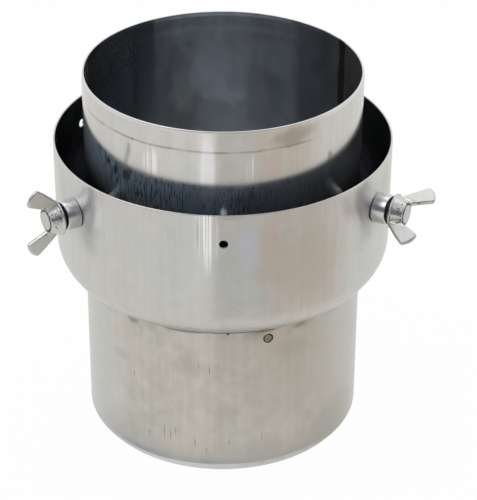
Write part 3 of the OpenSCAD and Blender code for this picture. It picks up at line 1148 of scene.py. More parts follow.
@dataclass
class SpigotShell(Shell):
    """Lower tube with its bottom edge turned in."""

    node: str = "spigot"
    name: str = "spigot_shell"
    slot: str = "spigot_steel"
    finish: MetalFinish = SpigotFinish(
        name="Spigot steel",
        colour=(0.665, 0.62, 0.565),
        cool=(0.625, 0.61, 0.55),
        stain=(0.50, 0.465, 0.405),
        rough=0.24,
        anisotropy=0.84,
        turned=0.25,
        grain_tone=0.035,
        band_tone=0.03,
        relief=0.004,
        mottle_size=34.0,
        mottle_tone=0.6,
        cloud_tone=0.05,
        # Inner wall painted darker and cooler than the outside: painted shade.
        inside_colour=(0.56, 0.58, 0.60),
        inside_shade=(0.50, 0.52, 0.54),
        patches=(
            # Painted reflections: a cooler tone on both grazing sides.
            Patch(-80.0, -0.045, 25.0, 0.2, (0.625, 0.64, 0.62), 0.85, 0.7, soft=0.8),
            Patch(80.0, -0.045, 27.0, 0.2, (0.60, 0.615, 0.60), 0.85, 0.7, soft=0.8),
            Patch(-15.5, -0.022, 4.5, 0.010, (0.47, 0.44, 0.40), 0.4),
            Patch(27.0, -0.014, 6.0, 0.004, (0.44, 0.42, 0.38), 0.45),
            Patch(-49.0, -0.028, 4.5, 0.003, (0.46, 0.44, 0.40), 0.35),
            Patch(42.0, -0.045, 30.0, 0.065, (0.55, 0.52, 0.465), 0.55, 0.6),
            Patch(-41.0, -0.0025, 2.8, 0.0020, (0.28, 0.30, 0.26), 0.7),
            Patch(-18.0, -0.0010, 7.0, 0.0006, (0.20, 0.19, 0.16), 0.6),
            Patch(15.0, -0.0010, 4.0, 0.0010, (0.20, 0.19, 0.16), 0.75),
            Patch(30.0, -0.0022, 3.0, 0.0018, (0.30, 0.31, 0.27), 0.6),
            Patch(-0.2, -0.0010, 0.5, 0.0007, (0.04, 0.04, 0.04), 0.9, 0.1),
            Patch(51.0, -0.075, 16.0, 0.013, (0.44, 0.425, 0.39), 0.6, 0.7, soft=0.7),
            Patch(-50.0, -0.077, 14.0, 0.010, (0.49, 0.48, 0.45), 0.45, 0.7, soft=0.7),
            Patch(14.0, -0.077, 9.0, 0.008, (0.48, 0.46, 0.42), 0.5, 0.7, soft=0.7),
        ),
    )
    wall: float = 1.5 * MM
    lead_height: float = 4.0 * MM
    lead_depth: float = 3.2 * MM
    lead_round: float = 2.4 * MM
    crease_round: float = 0.5 * MM

    def corners(self) -> list[tuple[float, float, float]]:
        """Section of the spigot, read from the CAD node's box."""
        low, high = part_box(self.node)
        outer, inner = high.x, high.x - self.wall
        slope = math.atan(self.lead_depth / self.lead_height)
        across = self.wall / math.cos(slope)
        shift = self.wall * math.tan(slope / 2)
        return [
            (outer, high.z, self.crease_round),
            (outer, low.z + self.lead_height, self.lead_round),
            (outer - self.lead_depth, low.z, 0.3 * MM),
            (outer - self.lead_depth - across, low.z, 0.3 * MM),
            (inner, low.z + self.lead_height + shift, self.lead_round),
            (inner, high.z, 0.0),
        ]


@dataclass
class CollarShell(Shell):
    """Spun bell: straight wall, round shoulder and a cone down to the spigot."""

    node: str = "collar"
    name: str = "collar_shell"
    slot: str = "collar_steel"
    finish: MetalFinish = CollarFinish(
        name="Collar steel",
        colour=(0.70, 0.67, 0.635),
        cool=(0.66, 0.675, 0.65),
        stain=(0.57, 0.55, 0.51),
        rough=0.25,
        anisotropy=0.82,
        turned=0.25,
        grain_tone=0.03,
        band_tone=0.02,
        relief=0.003,
        mottle_size=36.0,
        mottle_tone=0.4,
        # Inner wall painted much darker than the outside: painted shade.
        inside_colour=(0.46, 0.48, 0.49),
        inside_shade=(0.40, 0.42, 0.43),
        inside_rough=0.17,
        patches=(
            # Painted highlight: a bright upright streak near the front.
            Patch(-7.0, 0.068, 2.6, 0.019, (1.0, 1.0, 1.0), 0.95, 0.3, True),
            Patch(-10.2, 0.068, 0.35, 0.008, (0.36, 0.36, 0.38), 0.5, 0.3),
            # Painted coloured reflections: a lavender and a brown tint.
            Patch(6.1, 0.061, 3.4, 0.013, (0.68, 0.69, 0.79), 0.6, 0.3),
            Patch(12.8, 0.061, 3.0, 0.014, (0.69, 0.565, 0.52), 0.5, 0.3),
            Patch(0.0, 0.0765, 5.0, 0.0009, (0.52, 0.53, 0.49), 0.5, 0.3),
            Patch(25.0, 0.046, 15.0, 0.018, (0.60, 0.535, 0.455), 0.4, 0.6),
            # Painted highlight: a bright patch beside the left boss.
            Patch(-50.0, 0.066, 4.0, 0.010, (1.0, 1.0, 1.0), 0.6, 0.1),
        ),
    )
    wall: float = 1.0 * MM
    bend_radius: float = 20.0 * MM
    slope: float = 58.0
    spigot_radius: float = 75.0 * MM
    rim_round: float = 0.4 * MM
    nose_radius: float = 5.55 * MM
    screw_height: float = 56.4 * MM
    hole_radius: float = 2.3 * MM
    hole_height: float = 61.8 * MM
    hole_turns: tuple[float, float, float] = (-2.0, 119.2, -120.8)

    def corners(self) -> list[tuple[float, float, float]]:
        """Section of the collar; the shoulder's bend is one large corner round."""
        low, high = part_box(self.node)
        outer, inner = high.x, high.x - self.wall
        rise = 1 / math.tan(math.radians(self.slope))
        seat = self.spigot_radius - self.wall
        seat_height = self.wall / math.sin(math.radians(self.slope)) - self.wall * rise
        return [
            (self.spigot_radius, low.z, 0.4 * MM),
            (outer, low.z + (outer - self.spigot_radius) * rise, self.bend_radius),
            (outer, high.z, self.rim_round),
            (inner, high.z, self.rim_round),
            (inner, low.z + seat_height + (inner - seat) * rise, self.bend_radius - self.wall),
            (seat, low.z + seat_height, 0.1 * MM),
            (seat, low.z, 0.0),
        ]

    def pierce(self, piece: bpy.types.Object) -> None:
        """Drills the holes for the boss noses and the plain fixing holes.

        Args:
            piece: The collar, whose mesh is replaced by the drilled one.
        """
        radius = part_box(self.node)[1].x
        drills = [(side.value, self.screw_height, self.nose_radius) for side in Side]
        drills += [(turn, self.hole_height, self.hole_radius) for turn in self.hole_turns]
        reach = 6.0 * MM
        for number, (azimuth, height, size) in enumerate(drills):
            outline = np.array([[0, -reach], [size, -reach], [size, reach], [0, reach]])
            rod = grid_mesh(f"drill_{number}", revolved(outline, 48), RowEnds.POLES)
            rod.transform(screw_place(azimuth, radius, height))
            tool = bpy.data.objects.new(rod.name, rod)
            bpy.context.scene.collection.objects.link(tool)
            cut = piece.modifiers.new(rod.name, "BOOLEAN")
            cut.operation, cut.solver, cut.object = "DIFFERENCE", "EXACT", tool
        drilled = settled(piece)
        drilled.name = self.name
        piece.data = drilled
        for tool in [o for o in bpy.data.objects if o.name.startswith("drill_")]:
            bpy.data.objects.remove(tool)


@dataclass
class SleeveShell(Shell):
    """Inner tube that the liner slips over, its top edge eased inwards."""

    node: str = "inner_sleeve"
    name: str = "sleeve_shell"
    slot: str = "sleeve_steel"
    finish: MetalFinish = SleeveFinish(
        name="Sleeve steel",
        colour=(0.70, 0.67, 0.635),
        cool=(0.665, 0.675, 0.65),
        stain=(0.58, 0.555, 0.515),
        rough=0.15,
        anisotropy=0.6,
        turned=0.25,
        grain_tone=0.03,
        band_tone=0.02,
        relief=0.003,
        mottle_size=36.0,
        mottle_tone=0.4,
        inside_colour=(0.67, 0.69, 0.70),
        inside_shade=(0.46, 0.47, 0.47),
        inside_rough=0.17,
        inside_metal=0.93,
        patches=(
            # Painted highlight: the bright upright strip.
            Patch(-8.2, 0.092, 2.8, 0.021, (0.95, 0.95, 1.0), 0.30, 0.05, soft=0.3),
            Patch(26.5, 0.1095, 8.0, 0.0045, (0.40, 0.365, 0.33), 0.65),
            Patch(18.3, 0.0956, 3.5, 0.008, (0.70, 0.59, 0.55), 0.45, 0.3),
            # Painted highlights: two bright upright streaks.
            Patch(-30.8, 0.0946, 3.5, 0.007, (0.98, 0.98, 0.96), 0.8, 0.3, True),
            Patch(8.3, 0.095, 1.4, 0.008, (0.98, 0.98, 0.98), 0.8, 0.3, True),
            # Painted shadow below the pit on the next line.
            Patch(-41.8, 0.098, 0.9, 0.0035, (0.40, 0.40, 0.38), 0.45, 0.1),
            Patch(-39.9, 0.1044, 0.35, 0.0005, (0.06, 0.06, 0.05), 0.9, 0.1),
            Patch(45.0, 0.0906, 1.4, 0.003, (0.28, 0.28, 0.28), 0.5),
            Patch(-49.9, 0.0823, 1.1, 0.0020, (0.06, 0.06, 0.06), 0.8, 0.8),
            Patch(-43.5, 0.0822, 2.2, 0.0030, (0.08, 0.08, 0.08), 0.7, 1.2),
            # Painted shade: dark bluish band low on the wall near the collar's rim.
            Patch(27.0, 0.0765, 25.0, 0.0095, (0.22, 0.235, 0.255), 0.6, 0.1, soft=0.3),
        ),
        # Inner wall: the dark patches are painted shade, the pale and bluish ones are painted reflections.
        inside_patches=(
            Patch(-126.8, 0.055, 24.5, 0.3, (0.15, 0.17, 0.19), 0.8, 0.04, soft=0.05),
            Patch(-154.0, 0.052, 17.0, 0.045, (0.14, 0.145, 0.14), 0.65, 0.3, soft=0.4),
            Patch(148.0, 0.055, 15.0, 0.050, (0.26, 0.28, 0.285), 0.5, 0.3),
            Patch(-153.0, 0.035, 13.0, 0.055, (0.33, 0.34, 0.345), 0.6, 0.2),
            Patch(128.0, 0.035, 22.0, 0.045, (0.36, 0.37, 0.38), 0.55, 0.3),
            Patch(104.0, 0.06, 10.0, 0.2, (0.36, 0.40, 0.42), 0.6, 0.1),
            Patch(174.0, 0.075, 11.0, 0.08, (0.88, 0.90, 0.95), 0.4, 0.4),
            Patch(-177.0, 0.050, 27.0, 0.012, (0.30, 0.295, 0.27), 0.55, 0.7),
            Patch(152.0, 0.092, 7.0, 0.010, (0.85, 0.88, 0.90), 0.25, 0.8),
            Patch(-164.0, 0.070, 5.0, 0.014, (0.80, 0.80, 0.74), 0.35, 0.8),
            Patch(-172.0, 0.082, 4.0, 0.012, (0.88, 0.90, 0.92), 0.3, 0.9),
            Patch(163.0, 0.066, 6.0, 0.016, (0.34, 0.34, 0.33), 0.4, 0.9),
            Patch(178.0, 0.1056, 30.0, 0.0022, (0.90, 0.94, 1.0), 0.25, 0.2),
        ),
    )
    wall: float = 1.0 * MM
    lap_step: float = 0.3 * MM
    swell_from: float = 0.55 * MM
    swell_to: float = 2.4 * MM
    lip_height: float = 2.4 * MM
    lip_depth: float = 0.4 * MM

    def corners(self) -> list[tuple[float, float, float]]:
        """Section of the sleeve, read from the CAD node's box."""
        low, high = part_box(self.node)
        outer, inner = high.x, high.x - self.wall
        return [
            (outer - self.lap_step, low.z, 0.2 * MM),
            (outer - self.lap_step, self.swell_from, 0.0),
            (outer, self.swell_to, 0.0),
            (outer, high.z - self.lip_height, 6.0 * MM),
            (outer - self.lip_depth, high.z, 0.35 * MM),
            (inner - self.lip_depth, high.z, 0.35 * MM),
            (inner, high.z - self.lip_height, 6.0 * MM),
            (inner, self.swell_to, 0.0),
            (inner - self.lap_step, self.swell_from, 0.0),
            (inner - self.lap_step, low.z, 0.2 * MM),
        ]


def screw_place(azimuth: float, radius: float, height: float) -> Matrix:
    """Placing matrix of a screw's own axes: X along the wall, Y up, Z outwards.

    Args:
        azimuth: Angle round the flue, in degrees.
        radius: Distance of the screw's zero point from the flue's axis.
        height: Height of the screw's axis.

    Returns:
        The matrix with columns t, up and n, where n = (sin a, -cos a, 0) and
        t = (cos a, sin a, 0).
    """
    a = math.radians(azimuth)
    along, outward = Vector((math.cos(a), math.sin(a), 0)), Vector((math.sin(a), -math.cos(a), 0))
    place = Matrix.Identity(4)
    for column, vector in enumerate((along, Vector((0, 0, 1)), outward)):
        place.col[column][:3] = vector
    place.col[3][:3] = outward * radius + Vector((0, 0, height))
    return place


@dataclass
class Bosses:
    """Three threaded bosses, turned from bar, seated on the collar's curve."""

    length: float = 8.0 * MM
    radius: float = 8.0 * MM
    bore: float = 4.15 * MM
    nose_radius: float = 5.5 * MM
    nose_depth: float = 1.0 * MM
    chamfer: float = 0.7 * MM
    collar_radius: float = 90.0 * MM
    height: float = 56.4 * MM
    columns: int = 128
    finish: MetalFinish = BossFinish(
        name="Boss steel",
        colour=(0.72, 0.715, 0.71),
        cool=(0.70, 0.705, 0.70),
        stain=(0.60, 0.58, 0.57),
        rough=0.19,
        grain_scale=(700.0, 700.0, 700.0),
        grain_tone=0.02,
        band_tone=0.0,
        grain_rough=0.02,
        relief=0.0006,
        mottle_size=180.0,
        mottle_tone=0.2,
    )

    def points(self) -> np.ndarray:
        """Grid of one boss: a ring with a flat foot and a nose.

        Returns:
            Grid of points in the screw's own axes.
        """
        top = self.length
        corners = [
            (self.bore, -self.nose_depth, 0.2 * MM),
            (self.nose_radius, -self.nose_depth, 0.2 * MM),
            (self.nose_radius, 0.0, 0.0),
            (self.radius, 0.0, 0.3 * MM),
            (self.radius, top - self.chamfer, 0.25 * MM),
            (self.radius - self.chamfer, top, 0.25 * MM),
            (self.bore + 0.5 * MM, top, 0.1 * MM),
            (self.bore, top - 0.5 * MM, 0.1 * MM),
        ]
        return revolved(spaced(rounded_outline(corners, steps=5), 0.8 * MM), self.columns)

    def build(self, effects: Effects) -> None:
        """Places the three bosses and rides them on the adaptor.

        Args:
            effects: The shared node groups.
        """
        finish = self.finish.build(effects)
        shape = grid_mesh("boss", self.points(), RowEnds.LOOP)
        sharpen(shape, 38.0)
        for side in Side:
            name = f"boss_{side.label}"
            place = screw_place(side.value, self.collar_radius, self.height)
            piece = as_object(f"{name}_turned", moved_copy(shape, f"{name}_turned", place), finish)
            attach(piece, "adaptor")
            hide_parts(name)
            report(piece)


@dataclass
class Studs:
    """Threaded studs, riveted over in their wing heads."""

    length: float = 20.0 * MM
    radius: float = 4.0 * MM
    root_radius: float = 3.3 * MM
    pitch: float = 1.25 * MM
    tip_chamfer: float = 0.9 * MM
    seat_height: float = 5.75 * MM
    rivet_radius: float = 5.0 * MM
    rivet_top: float = 7.5 * MM
    head_place: float = 99.8 * MM
    height: float = 56.4 * MM
    columns: int = 72
    finish: MetalFinish = MetalFinish(
        name="Stud steel",
        colour=(0.66, 0.655, 0.64),
        cool=(0.63, 0.64, 0.63),
        stain=(0.50, 0.48, 0.45),
        rough=0.28,
        grain_scale=(900.0, 900.0, 900.0),
        grain_tone=0.05,
        band_tone=0.0,
        relief=0.01,
        mottle_size=220.0,
        mottle_tone=0.35,
    )

    def points(self) -> np.ndarray:
        """Grid of one stud, with its thread as a ridge that climbs a turn a pitch.

        With p = (height / pitch - turn) mod 1, the flank height is
        clip(1.7 - |4 p - 2| * 1.2, 0, 1), from the root to the crest radius.

        Returns:
            Grid of points in the head's own axes, from tip to riveted end.
        """
        tip = -self.length
        corners = [
            (0.0, tip, 0.0),
            (self.radius - self.tip_chamfer, tip, 0.15 * MM),
            (self.radius, tip + self.tip_chamfer, 0.1 * MM),
            (self.radius, self.seat_height, 0.0),
            (self.rivet_radius, self.seat_height, 0.1 * MM),
            (self.rivet_radius, self.rivet_top - 0.1 * MM, 0.3 * MM),
            (0.0, self.rivet_top, 0.0),
        ]
        outline = spaced(rounded_outline(corners, closed=False, steps=5), self.pitch / 12, closed=False)
        grid = revolved(outline, self.columns)
        turn = np.arange(self.columns)[None, :] / self.columns
        height = grid[..., 2]
        phase = np.mod(height / self.pitch - turn, 1.0)
        ridge = np.clip(1.7 - np.abs(4 * phase - 2) * 1.2, 0.0, 1.0)
        cut = (self.radius - self.root_radius) * (1 - ridge)
        shank = (height > tip + 0.2 * MM) & (height < -0.2 * MM)
        radius = np.hypot(grid[..., 0], grid[..., 1])
        wanted = np.where(shank, np.minimum(radius, self.radius - cut), radius)
        grid[..., :2] *= (wanted / np.maximum(radius, 1e-9))[..., None]
        return grid

    def build(self, effects: Effects) -> None:
        """Places the three studs on their own bodies.

        Args:
            effects: The shared node groups.
        """
        finish = self.finish.build(effects)
        shape = grid_mesh("stud", self.points(), RowEnds.POLES)
        sharpen(shape, 35.0)
        for side in Side:
            name = f"stud_{side.label}"
            place = screw_place(side.value, self.head_place, self.height)
            piece = as_object(f"{name}_threaded", moved_copy(shape, f"{name}_threaded", place), finish)
            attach(piece, name)
            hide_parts(name)
            report(piece)


@dataclass
class WingHeads:
    """Cast wing heads: flanged hub, two flared wings, a seat for the riveted stud."""

    flange_radius: float = 9.3 * MM
    flange_depth: float = 1.1 * MM
    hub_base: float = 8.5 * MM
    hub_top: float = 6.4 * MM
    hub_height: float = 7.0 * MM
    bore: float = 4.25 * MM
    seat_radius: float = 5.4 * MM
    seat_height: float = 5.65 * MM
    root_thick: float = 3.1 * MM
    tip_thick: float = 2.3 * MM
    edge_round: float = 1.0 * MM
    voxel: float = 0.2 * MM
    head_place: float = 99.8 * MM
    height: float = 56.4 * MM
    wing_span: float = 20.0 * MM
    wing_corners: tuple[tuple[float, float], ...] = ((9.3, 0.6), (20.0, 12.3), (11.6, 17.6), (6.4, 7.0))
    wing_pulls: tuple[tuple[float, float], ...] = ((14.8, 5.2), (17.4, 17.6), (9.3, 12.7))
    turns: tuple[float, float, float] = (5.0, 69.0, -38.0)
    finish: MetalFinish = HeadFinish(
        name="Wing metal",
        colour=(0.68, 0.67, 0.63),
        cool=(0.66, 0.665, 0.625),
        stain=(0.53, 0.515, 0.48),
        rough=0.36,
        grain_scale=(1100.0, 1100.0, 1100.0),
        grain_tone=0.06,
        band_tone=0.0,
        grain_rough=0.06,
        relief=0.04,
        mottle_size=140.0,
        mottle_tone=0.25,
    )

    def hub(self) -> bpy.types.Mesh:
        """Hub with its flange, bore and seat, revolved."""
        corners = [
            (self.bore, 0.0, 0.0),
            (self.flange_radius, 0.0, 0.25 * MM),
            (self.flange_radius, self.flange_depth, 0.35 * MM),
            (self.hub_base, self.flange_depth, 0.25 * MM),
            (self.hub_top, self.hub_height, 0.45 * MM),
            (self.seat_radius, self.hub_height, 0.2 * MM),
            (self.seat_radius, self.seat_height, 0.0),
            (self.bore, self.seat_height, 0.0),
        ]
        outline = spaced(rounded_outline(corners, steps=5), 0.5 * MM)
        return grid_mesh("hub", revolved(outline, 96), RowEnds.LOOP)

    def wing_outline(self) -> np.ndarray:
        """Outline of one wing as (distance from the axis, height), closed.

        Each stretch is the curve (1-t)^2 a + 2 t (1-t) b + t^2 c. The two tip
        corners are rounded by the same curve between points short of them.
        """
        foot, outer, tip, neck = (np.array(p) * MM for p in self.wing_corners)
        low_pull, tip_pull, top_pull = (np.array(p) * MM for p in self.wing_pulls)

        def drawn(a: np.ndarray, b: np.ndarray, c: np.ndarray, start: float, end: float) -> np.ndarray:
            """Points of the curve from share start to share end."""
            t = np.linspace(start, end, 14)[:, None]
            return (1 - t) ** 2 * a + 2 * t * (1 - t) * b + t**2 * c

        lower = drawn(foot, low_pull, outer, 0.0, 0.95)
        end = drawn(outer, tip_pull, tip, 0.06, 0.93)
        upper = drawn(tip, top_pull, neck, 0.08, 1.0)
        corners = [drawn(lower[-1], outer, end[0], 0.1, 0.9), drawn(end[-1], tip, upper[0], 0.1, 0.9)]
        root = np.array([[neck[0] * 0.8, neck[1] - 0.9 * MM], [neck[0] * 0.8, foot[1]]])
        return spaced(np.vstack([lower, corners[0], end, corners[1], upper, root]), 0.35 * MM)

    def wing(self) -> bpy.types.Mesh:
        """One wing: a plate with round edges, thinner towards its tip.

        Grid row k scales the outline towards its middle by s_k. At distance d
        from the edge the half thickness is (t/2) sqrt(1 - (1 - d/e)^2) up to
        the edge round e, and t/2 past it. Rows run from one face's middle over
        the edge to the other's.

        Returns:
            The mesh of one wing, standing along +Y in the head's own axes.
        """
        outline = self.wing_outline()
        middle = np.array([11.6, 8.2]) * MM
        spread = np.linspace(0.0, np.pi / 2, 34)
        scale = np.sin(spread) ** 0.6
        scale = np.concatenate([scale, scale[-2::-1]])
        face = np.concatenate([np.ones(34), -np.ones(33)])
        flat = middle + scale[:, None, None] * (outline - middle)[None]
        away = (1 - scale)[:, None] * np.linalg.norm(outline - middle, axis=1)[None]
        lift = np.sqrt(np.clip(1 - (1 - np.clip(away / self.edge_round, 0, 1)) ** 2, 0, 1))
        share = np.clip((flat[..., 0] - self.seat_radius) / (self.wing_span - self.seat_radius), 0, 1)
        thick = self.root_thick + (self.tip_thick - self.root_thick) * share
        across = face[:, None] * lift * thick / 2
        return grid_mesh("wing", np.stack([across, flat[..., 0], flat[..., 1]], -1), RowEnds.POLES)

    def cast(self) -> bpy.types.Mesh:
        """Joins hub and wings into one casting with small fillets.

        Returns:
            The mesh in the head's own axes.
        """
        first = self.wing()
        second = moved_copy(first, "wing_opposite", Matrix.Rotation(math.pi, 4, "Z"))
        parts = [bpy.data.objects.new(m.name, m) for m in (self.hub(), first, second)]
        for part in parts:
            bpy.context.scene.collection.objects.link(part)
        with bpy.context.temp_override(
            active_object=parts[0], object=parts[0], selected_editable_objects=parts, selected_objects=parts
        ):
            bpy.ops.object.join()
        body = parts[0]
        remesh = body.modifiers.new("cast", "REMESH")
        remesh.mode, remesh.voxel_size = "VOXEL", self.voxel
        ease = body.modifiers.new("ease", "SMOOTH")
        ease.factor, ease.iterations = 0.5, 4
        mesh = settled(body)
        bpy.data.objects.remove(body)
        mesh.shade_smooth()
        return mesh

    def build(self, effects: Effects) -> None:
        """Places the three heads, each at its own turn, on their own bodies.

        Args:
            effects: The shared node groups.
        """
        finish = self.finish.build(effects)
        shape = self.cast()
        for side, turn in zip(Side, self.turns):
            place = screw_place(side.value, self.head_place, self.height)
            place = place @ Matrix.Rotation(-math.radians(turn), 4, "Z")
            name = f"wing_{side.label}_cast"
            piece = as_object(name, moved_copy(shape, name, place), finish)
            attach(piece, f"head_{side.label}")
            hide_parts(f"wing_{side.label}")
            report(piece)


@dataclass
class WeldMarks:
    """Spot-weld marks round the lap of the inner sleeve."""

    radius: float = 75.0 * MM
    spot_height: float = -5.9 * MM
    spot_size: float = 2.8 * MM
    spot_azimuths: tuple[float, float, float] = (16.2, 136.2, -103.8)
    finish: MetalFinish = SpotWeldFinish(
        name="Spot weld",
        colour=(0.60, 0.54, 0.46),
        cool=(0.57, 0.52, 0.45),
        stain=(0.34, 0.27, 0.20),
        rough=0.38,
        grain_scale=(900.0, 900.0, 900.0),
        grain_tone=0.05,
        band_tone=0.0,
        relief=0.02,
        mottle_size=300.0,
        mottle_tone=0.3,
    )

    def spot(self, azimuth: float) -> bpy.types.Mesh:
        """Electrode mark as a thin disc that follows the spigot's wall.

        At share s of its radius the disc stands 0.05 mm * (1 - s^6) proud plus
        two ripples 0.03 mm cos(4 pi s) high. Its back lies under the wall.

        Args:
            azimuth: Place of the mark round the flue, in degrees.

        Returns:
            The mesh, in place.
        """
        share = np.concatenate([np.linspace(0, 1, 24), np.linspace(1, 0, 8)[1:]])
        front = np.concatenate([np.ones(24, bool), np.zeros(7, bool)])
        angle = np.arange(48) * (2 * np.pi / 48)
        across = share[:, None] * self.spot_size * np.cos(angle)[None]
        up = share[:, None] * self.spot_size * np.sin(angle)[None]
        proud = 0.05 * (1 - share**6) + 0.03 * np.cos(4 * np.pi * share) * (1 - share**2)
        level = np.where(front, proud, -0.3)[:, None] * MM
        turn = math.radians(azimuth) + across / self.radius
        radius = self.radius + level
        points = np.stack(
            [radius * np.sin(turn), -radius * np.cos(turn), np.broadcast_to(self.spot_height + up, turn.shape)], -1
        )
        mesh = grid_mesh("spot_weld", points, RowEnds.POLES)
        data = np.zeros(len(mesh.loops) * 2, np.float32)
        mesh.uv_layers[0].data.foreach_get("uv", data)
        uv = data.reshape(-1, 2)
        uv[:, 1] = np.minimum(uv[:, 1] * 30.0 / 23.0, 1.0)
        mesh.uv_layers[0].data.foreach_set("uv", uv.ravel())
        return mesh

    def build(self, effects: Effects) -> None:
        """Places the marks on the adaptor.

        Args:
            effects: The shared node groups.
        """
        finish = self.finish.build(effects)
        for number, azimuth in enumerate(self.spot_azimuths):
            name = f"spot_weld_{number + 1}"
            mesh = self.spot(azimuth)
            mesh.name = name
            piece = as_object(name, mesh, finish)
            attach(piece, "adaptor")
            report(piece)


# ------------------------------------------------------------------ studio


@dataclass
class Studio:
    """Pale table, soft lamps and the camera of the product photograph."""

    floor_height: float = -90.4 * MM
    floor_tone: Colour = (0.83, 0.83, 0.82)
    wedge_near: Colour = (0.635, 0.635, 0.615)
    wedge_far: Colour = (0.665, 0.605, 0.55)
    strip_tone: Colour = (1.0, 1.0, 1.0)
    inside_tone: Colour = (0.38, 0.42, 0.48)
    focal_pixels: float = 1960.77366
    frame_pixels: float = 500.0
    sensor: float = 36.0
    distance: float = 1.07518637
    aim_height: float = 9.23 * MM
    elevation: float = 0.531868575
    yaw: float = -0.00798988775
    pitch: float = -0.00307244657
    roll: float = -0.000813409710
    camera_azimuth: float = -2.25
    behind_stops: tuple[tuple[float, Colour], ...] = (
        (0.0, (0.94, 0.94, 0.94)),
        (0.5, (0.92, 0.92, 0.93)),
        (0.85, (0.80, 0.80, 0.84)),
        (1.0, (0.62, 0.64, 0.70)),
    )
    before_stops: tuple[tuple[float, Colour], ...] = (
        (0.0, (0.45, 0.43, 0.44)),
        (0.06, (0.20, 0.185, 0.21)),
        (0.55, (0.17, 0.16, 0.20)),
        (0.75, (0.74, 0.74, 0.79)),
        (1.0, (0.62, 0.64, 0.70)),
    )

    def camera(self) -> None:
        """Places the camera where the photograph was taken from.

        The view direction starts level with the aim point, is turned by small
        yaw, pitch and roll angles, and the whole is turned round the flue.
        """
        data = bpy.data.cameras.new("Photo camera")
        data.sensor_width = self.sensor
        data.sensor_fit = "AUTO"
        data.lens = self.focal_pixels / self.frame_pixels * self.sensor
        data.clip_end = 20.0
        camera = bpy.data.objects.new("Photo camera", data)
        bpy.context.scene.collection.objects.link(camera)
        forward = Vector((0, math.cos(self.elevation), -math.sin(self.elevation)))
        right = Vector((1, 0, 0))
        up = right.cross(forward)
        turn = Matrix.Rotation(self.yaw, 3, up)
        forward, right = turn @ forward, turn @ right
        turn = Matrix.Rotation(self.pitch, 3, right)
        forward, up = turn @ forward, turn @ up
        turn = Matrix.Rotation(self.roll, 3, forward)
        right, up = turn @ right, turn @ up
        place = Matrix.Identity(4)
        for column, vector in enumerate((right, up, -forward)):
            place.col[column][:3] = vector
        level, rise = math.cos(self.elevation), math.sin(self.elevation)
        place.col[3][:3] = (0, -self.distance * level, self.aim_height + self.distance * rise)
        camera.matrix_world = Matrix.Rotation(math.radians(self.camera_azimuth), 4, "Z") @ place
        bpy.context.scene.camera = camera

    def floor(self, effects: Effects) -> None:
        """Table top: white to the camera with a faint shadow, toned to the lamps.

        Args:
            effects: The shared node groups.
        """
        size = 4.0
        corners = np.array([[-size, -size], [size, -size], [size, size], [-size, size]])
        points = np.column_stack([corners, np.full(4, self.floor_height)])
        mesh = bpy.data.meshes.new("table")
        mesh.from_pydata(points.tolist(), [], [(0, 1, 2, 3)])
        material = bpy.data.materials.new("Table top")
        material.use_nodes = True
        material.node_tree.nodes.clear()
        bench = NodeBench(material.node_tree)
        place = bench.add("ShaderNodeTexCoord").outputs["Object"]
        azimuth, _, radius = bench.use(effects.axes, Vector=place).outputs[:3]
        turned = bench.math("SUBTRACT", azimuth, self.camera_azimuth)
        entered = bench.ease(turned, -6.2, -5.0)
        left = bench.ease(turned, 56.0, 92.0, 1.0, 0.0)
        far = bench.ease(radius, 0.12, 0.25, 0.18, 1.0)
        wedge = bench.math("MULTIPLY", bench.math("MULTIPLY", entered, left), far)
        warm = bench.blend(bench.ease(turned, 12.0, 34.0), self.wedge_near, self.wedge_far)
        tone = bench.blend(wedge, self.floor_tone, warm)
        far = bench.ease(radius, 0.33, 0.40)
        strip = bench.use(effects.band, Value=turned, Centre=-11.8, Half_width=5.6, Softness=0.6)
        tone = bench.blend(bench.math("MULTIPLY", strip.outputs[0], far), tone, self.strip_tone)
        tone = bench.blend(bench.ease(radius, 0.070, 0.066), tone, self.inside_tone)
        diffuse = bench.add("ShaderNodeBsdfDiffuse")
        bench.feed(diffuse.inputs["Color"], self.floor_tone)
        rays = bench.add("ShaderNodeLightPath").outputs
        seen = rays["Is Camera Ray"]
        mirrored = bench.math("MAXIMUM", rays["Is Glossy Ray"], rays["Is Transmission Ray"])
        shown = bench.add("ShaderNodeEmission")
        bench.feed(shown.inputs["Color"], bench.blend(seen, tone, (1.0, 1.0, 1.0)))
        share = bench.math("MAXIMUM", bench.math("MULTIPLY", seen, 0.975), bench.math("MULTIPLY", mirrored, 0.9))
        mix = bench.add("ShaderNodeMixShader")
        bench.feed(mix.inputs[0], share)
        bench.feed(mix.inputs[1], diffuse.outputs[0])
        bench.feed(mix.inputs[2], shown.outputs[0])
        out = bench.add("ShaderNodeOutputMaterial")
        bench.feed(out.inputs["Surface"], mix.outputs[0])
        table = as_object("table", mesh, material)

    @staticmethod
    def ramp(bench: NodeBench, value: Feed, stops: Sequence[tuple[float, Colour]]) -> bpy.types.NodeSocket:
        """Colour looked up along a row of stops.

        Args:
            bench: The node bench.
            value: Where to look, from 0 to 1.
            stops: Place and colour of each stop, in order.

        Returns:
            The colour.
        """
        node = bench.add("ShaderNodeValToRGB")
        bench.feed(node.inputs[0], value)
        elements = node.color_ramp.elements
        elements[0].position, elements[0].color = stops[0][0], (*stops[0][1], 1.0)
        elements[1].position, elements[1].color = stops[-1][0], (*stops[-1][1], 1.0)
        for position, colour in stops[1:-1]:
            elements.new(position).color = (*colour, 1.0)
        return node.outputs[0]

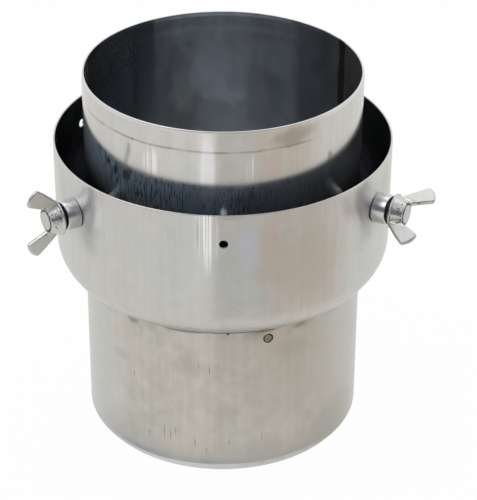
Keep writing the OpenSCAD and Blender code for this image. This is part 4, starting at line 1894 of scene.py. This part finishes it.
    def world(self) -> None:
        """Room: white to the camera, pale behind and overhead, dusky on the camera's side."""
        world = bpy.data.worlds.new("Studio")
        world.use_nodes = True
        world.node_tree.nodes.clear()
        bench = NodeBench(world.node_tree)
        split = bench.add("ShaderNodeSeparateXYZ")
        bench.feed(split.inputs[0], bench.add("ShaderNodeTexCoord").outputs["Generated"])
        rise = split.outputs[2]
        behind = self.ramp(bench, rise, self.behind_stops)
        before = self.ramp(bench, rise, self.before_stops)
        front = bench.ease(split.outputs[1], 0.1, -0.25)
        room = bench.blend(front, behind, before)
        seen = bench.add("ShaderNodeLightPath").outputs["Is Camera Ray"]
        colour = bench.blend(seen, room, (1.0, 1.0, 1.0))
        background = bench.add("ShaderNodeBackground")
        bench.feed(background.inputs["Color"], colour)
        out = bench.add("ShaderNodeOutputWorld")
        bench.feed(out.inputs["Surface"], background.outputs[0])
        bpy.context.scene.world = world

    def lamp(self, name: str, azimuth: float, elevation: float, away: float, size: tuple[float, float], power: float, colour: Colour = (1, 1, 1)) -> None:
        """Adds one soft box that faces the object.

        Args:
            name: Name of the lamp.
            azimuth: Angle round the flue, in degrees.
            elevation: Angle above the table, in degrees.
            away: Distance from the origin, in metres.
            size: Width and height of the box, in metres.
            power: Power in watts.
            colour: Colour of its light.
        """
        data = bpy.data.lights.new(name, "AREA")
        data.shape, (data.size, data.size_y) = "RECTANGLE", size
        data.energy, data.color = power, colour
        lamp = bpy.data.objects.new(name, data)
        bpy.context.scene.collection.objects.link(lamp)
        a, e = math.radians(azimuth), math.radians(elevation)
        lamp.location = Vector((math.sin(a) * math.cos(e), -math.cos(a) * math.cos(e), math.sin(e))) * away
        lamp.rotation_euler = (-lamp.location).to_track_quat("-Z", "Y").to_euler()

    def build(self, effects: Effects) -> None:
        """Sets up the table, room, lamps and camera."""
        self.camera()
        self.floor(effects)
        self.world()
        self.lamp("Left box", -75.0, 55.0, 1.6, (1.2, 0.9), 4.0)
        self.lamp("Right box", 95.0, 55.0, 1.6, (1.2, 0.9), 1.5)
        self.lamp("Back box", 180.0, 60.0, 1.7, (1.2, 0.8), 2.0)
        bpy.context.scene.view_settings.view_transform = "Standard"
        LOG.info("studio ready")


def main() -> None:
    """Builds the studio and every piece in order."""
    logging.basicConfig(level=logging.INFO, format="%(name)s %(message)s")
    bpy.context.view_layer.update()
    effects = Effects()
    Studio().build(effects)
    for assembly in (SpigotShell(), CollarShell(), SleeveShell(), Bosses(), Studs(), WingHeads(), WeldMarks()):
        assembly.build(effects)


if __name__ == "__main__":
    main()
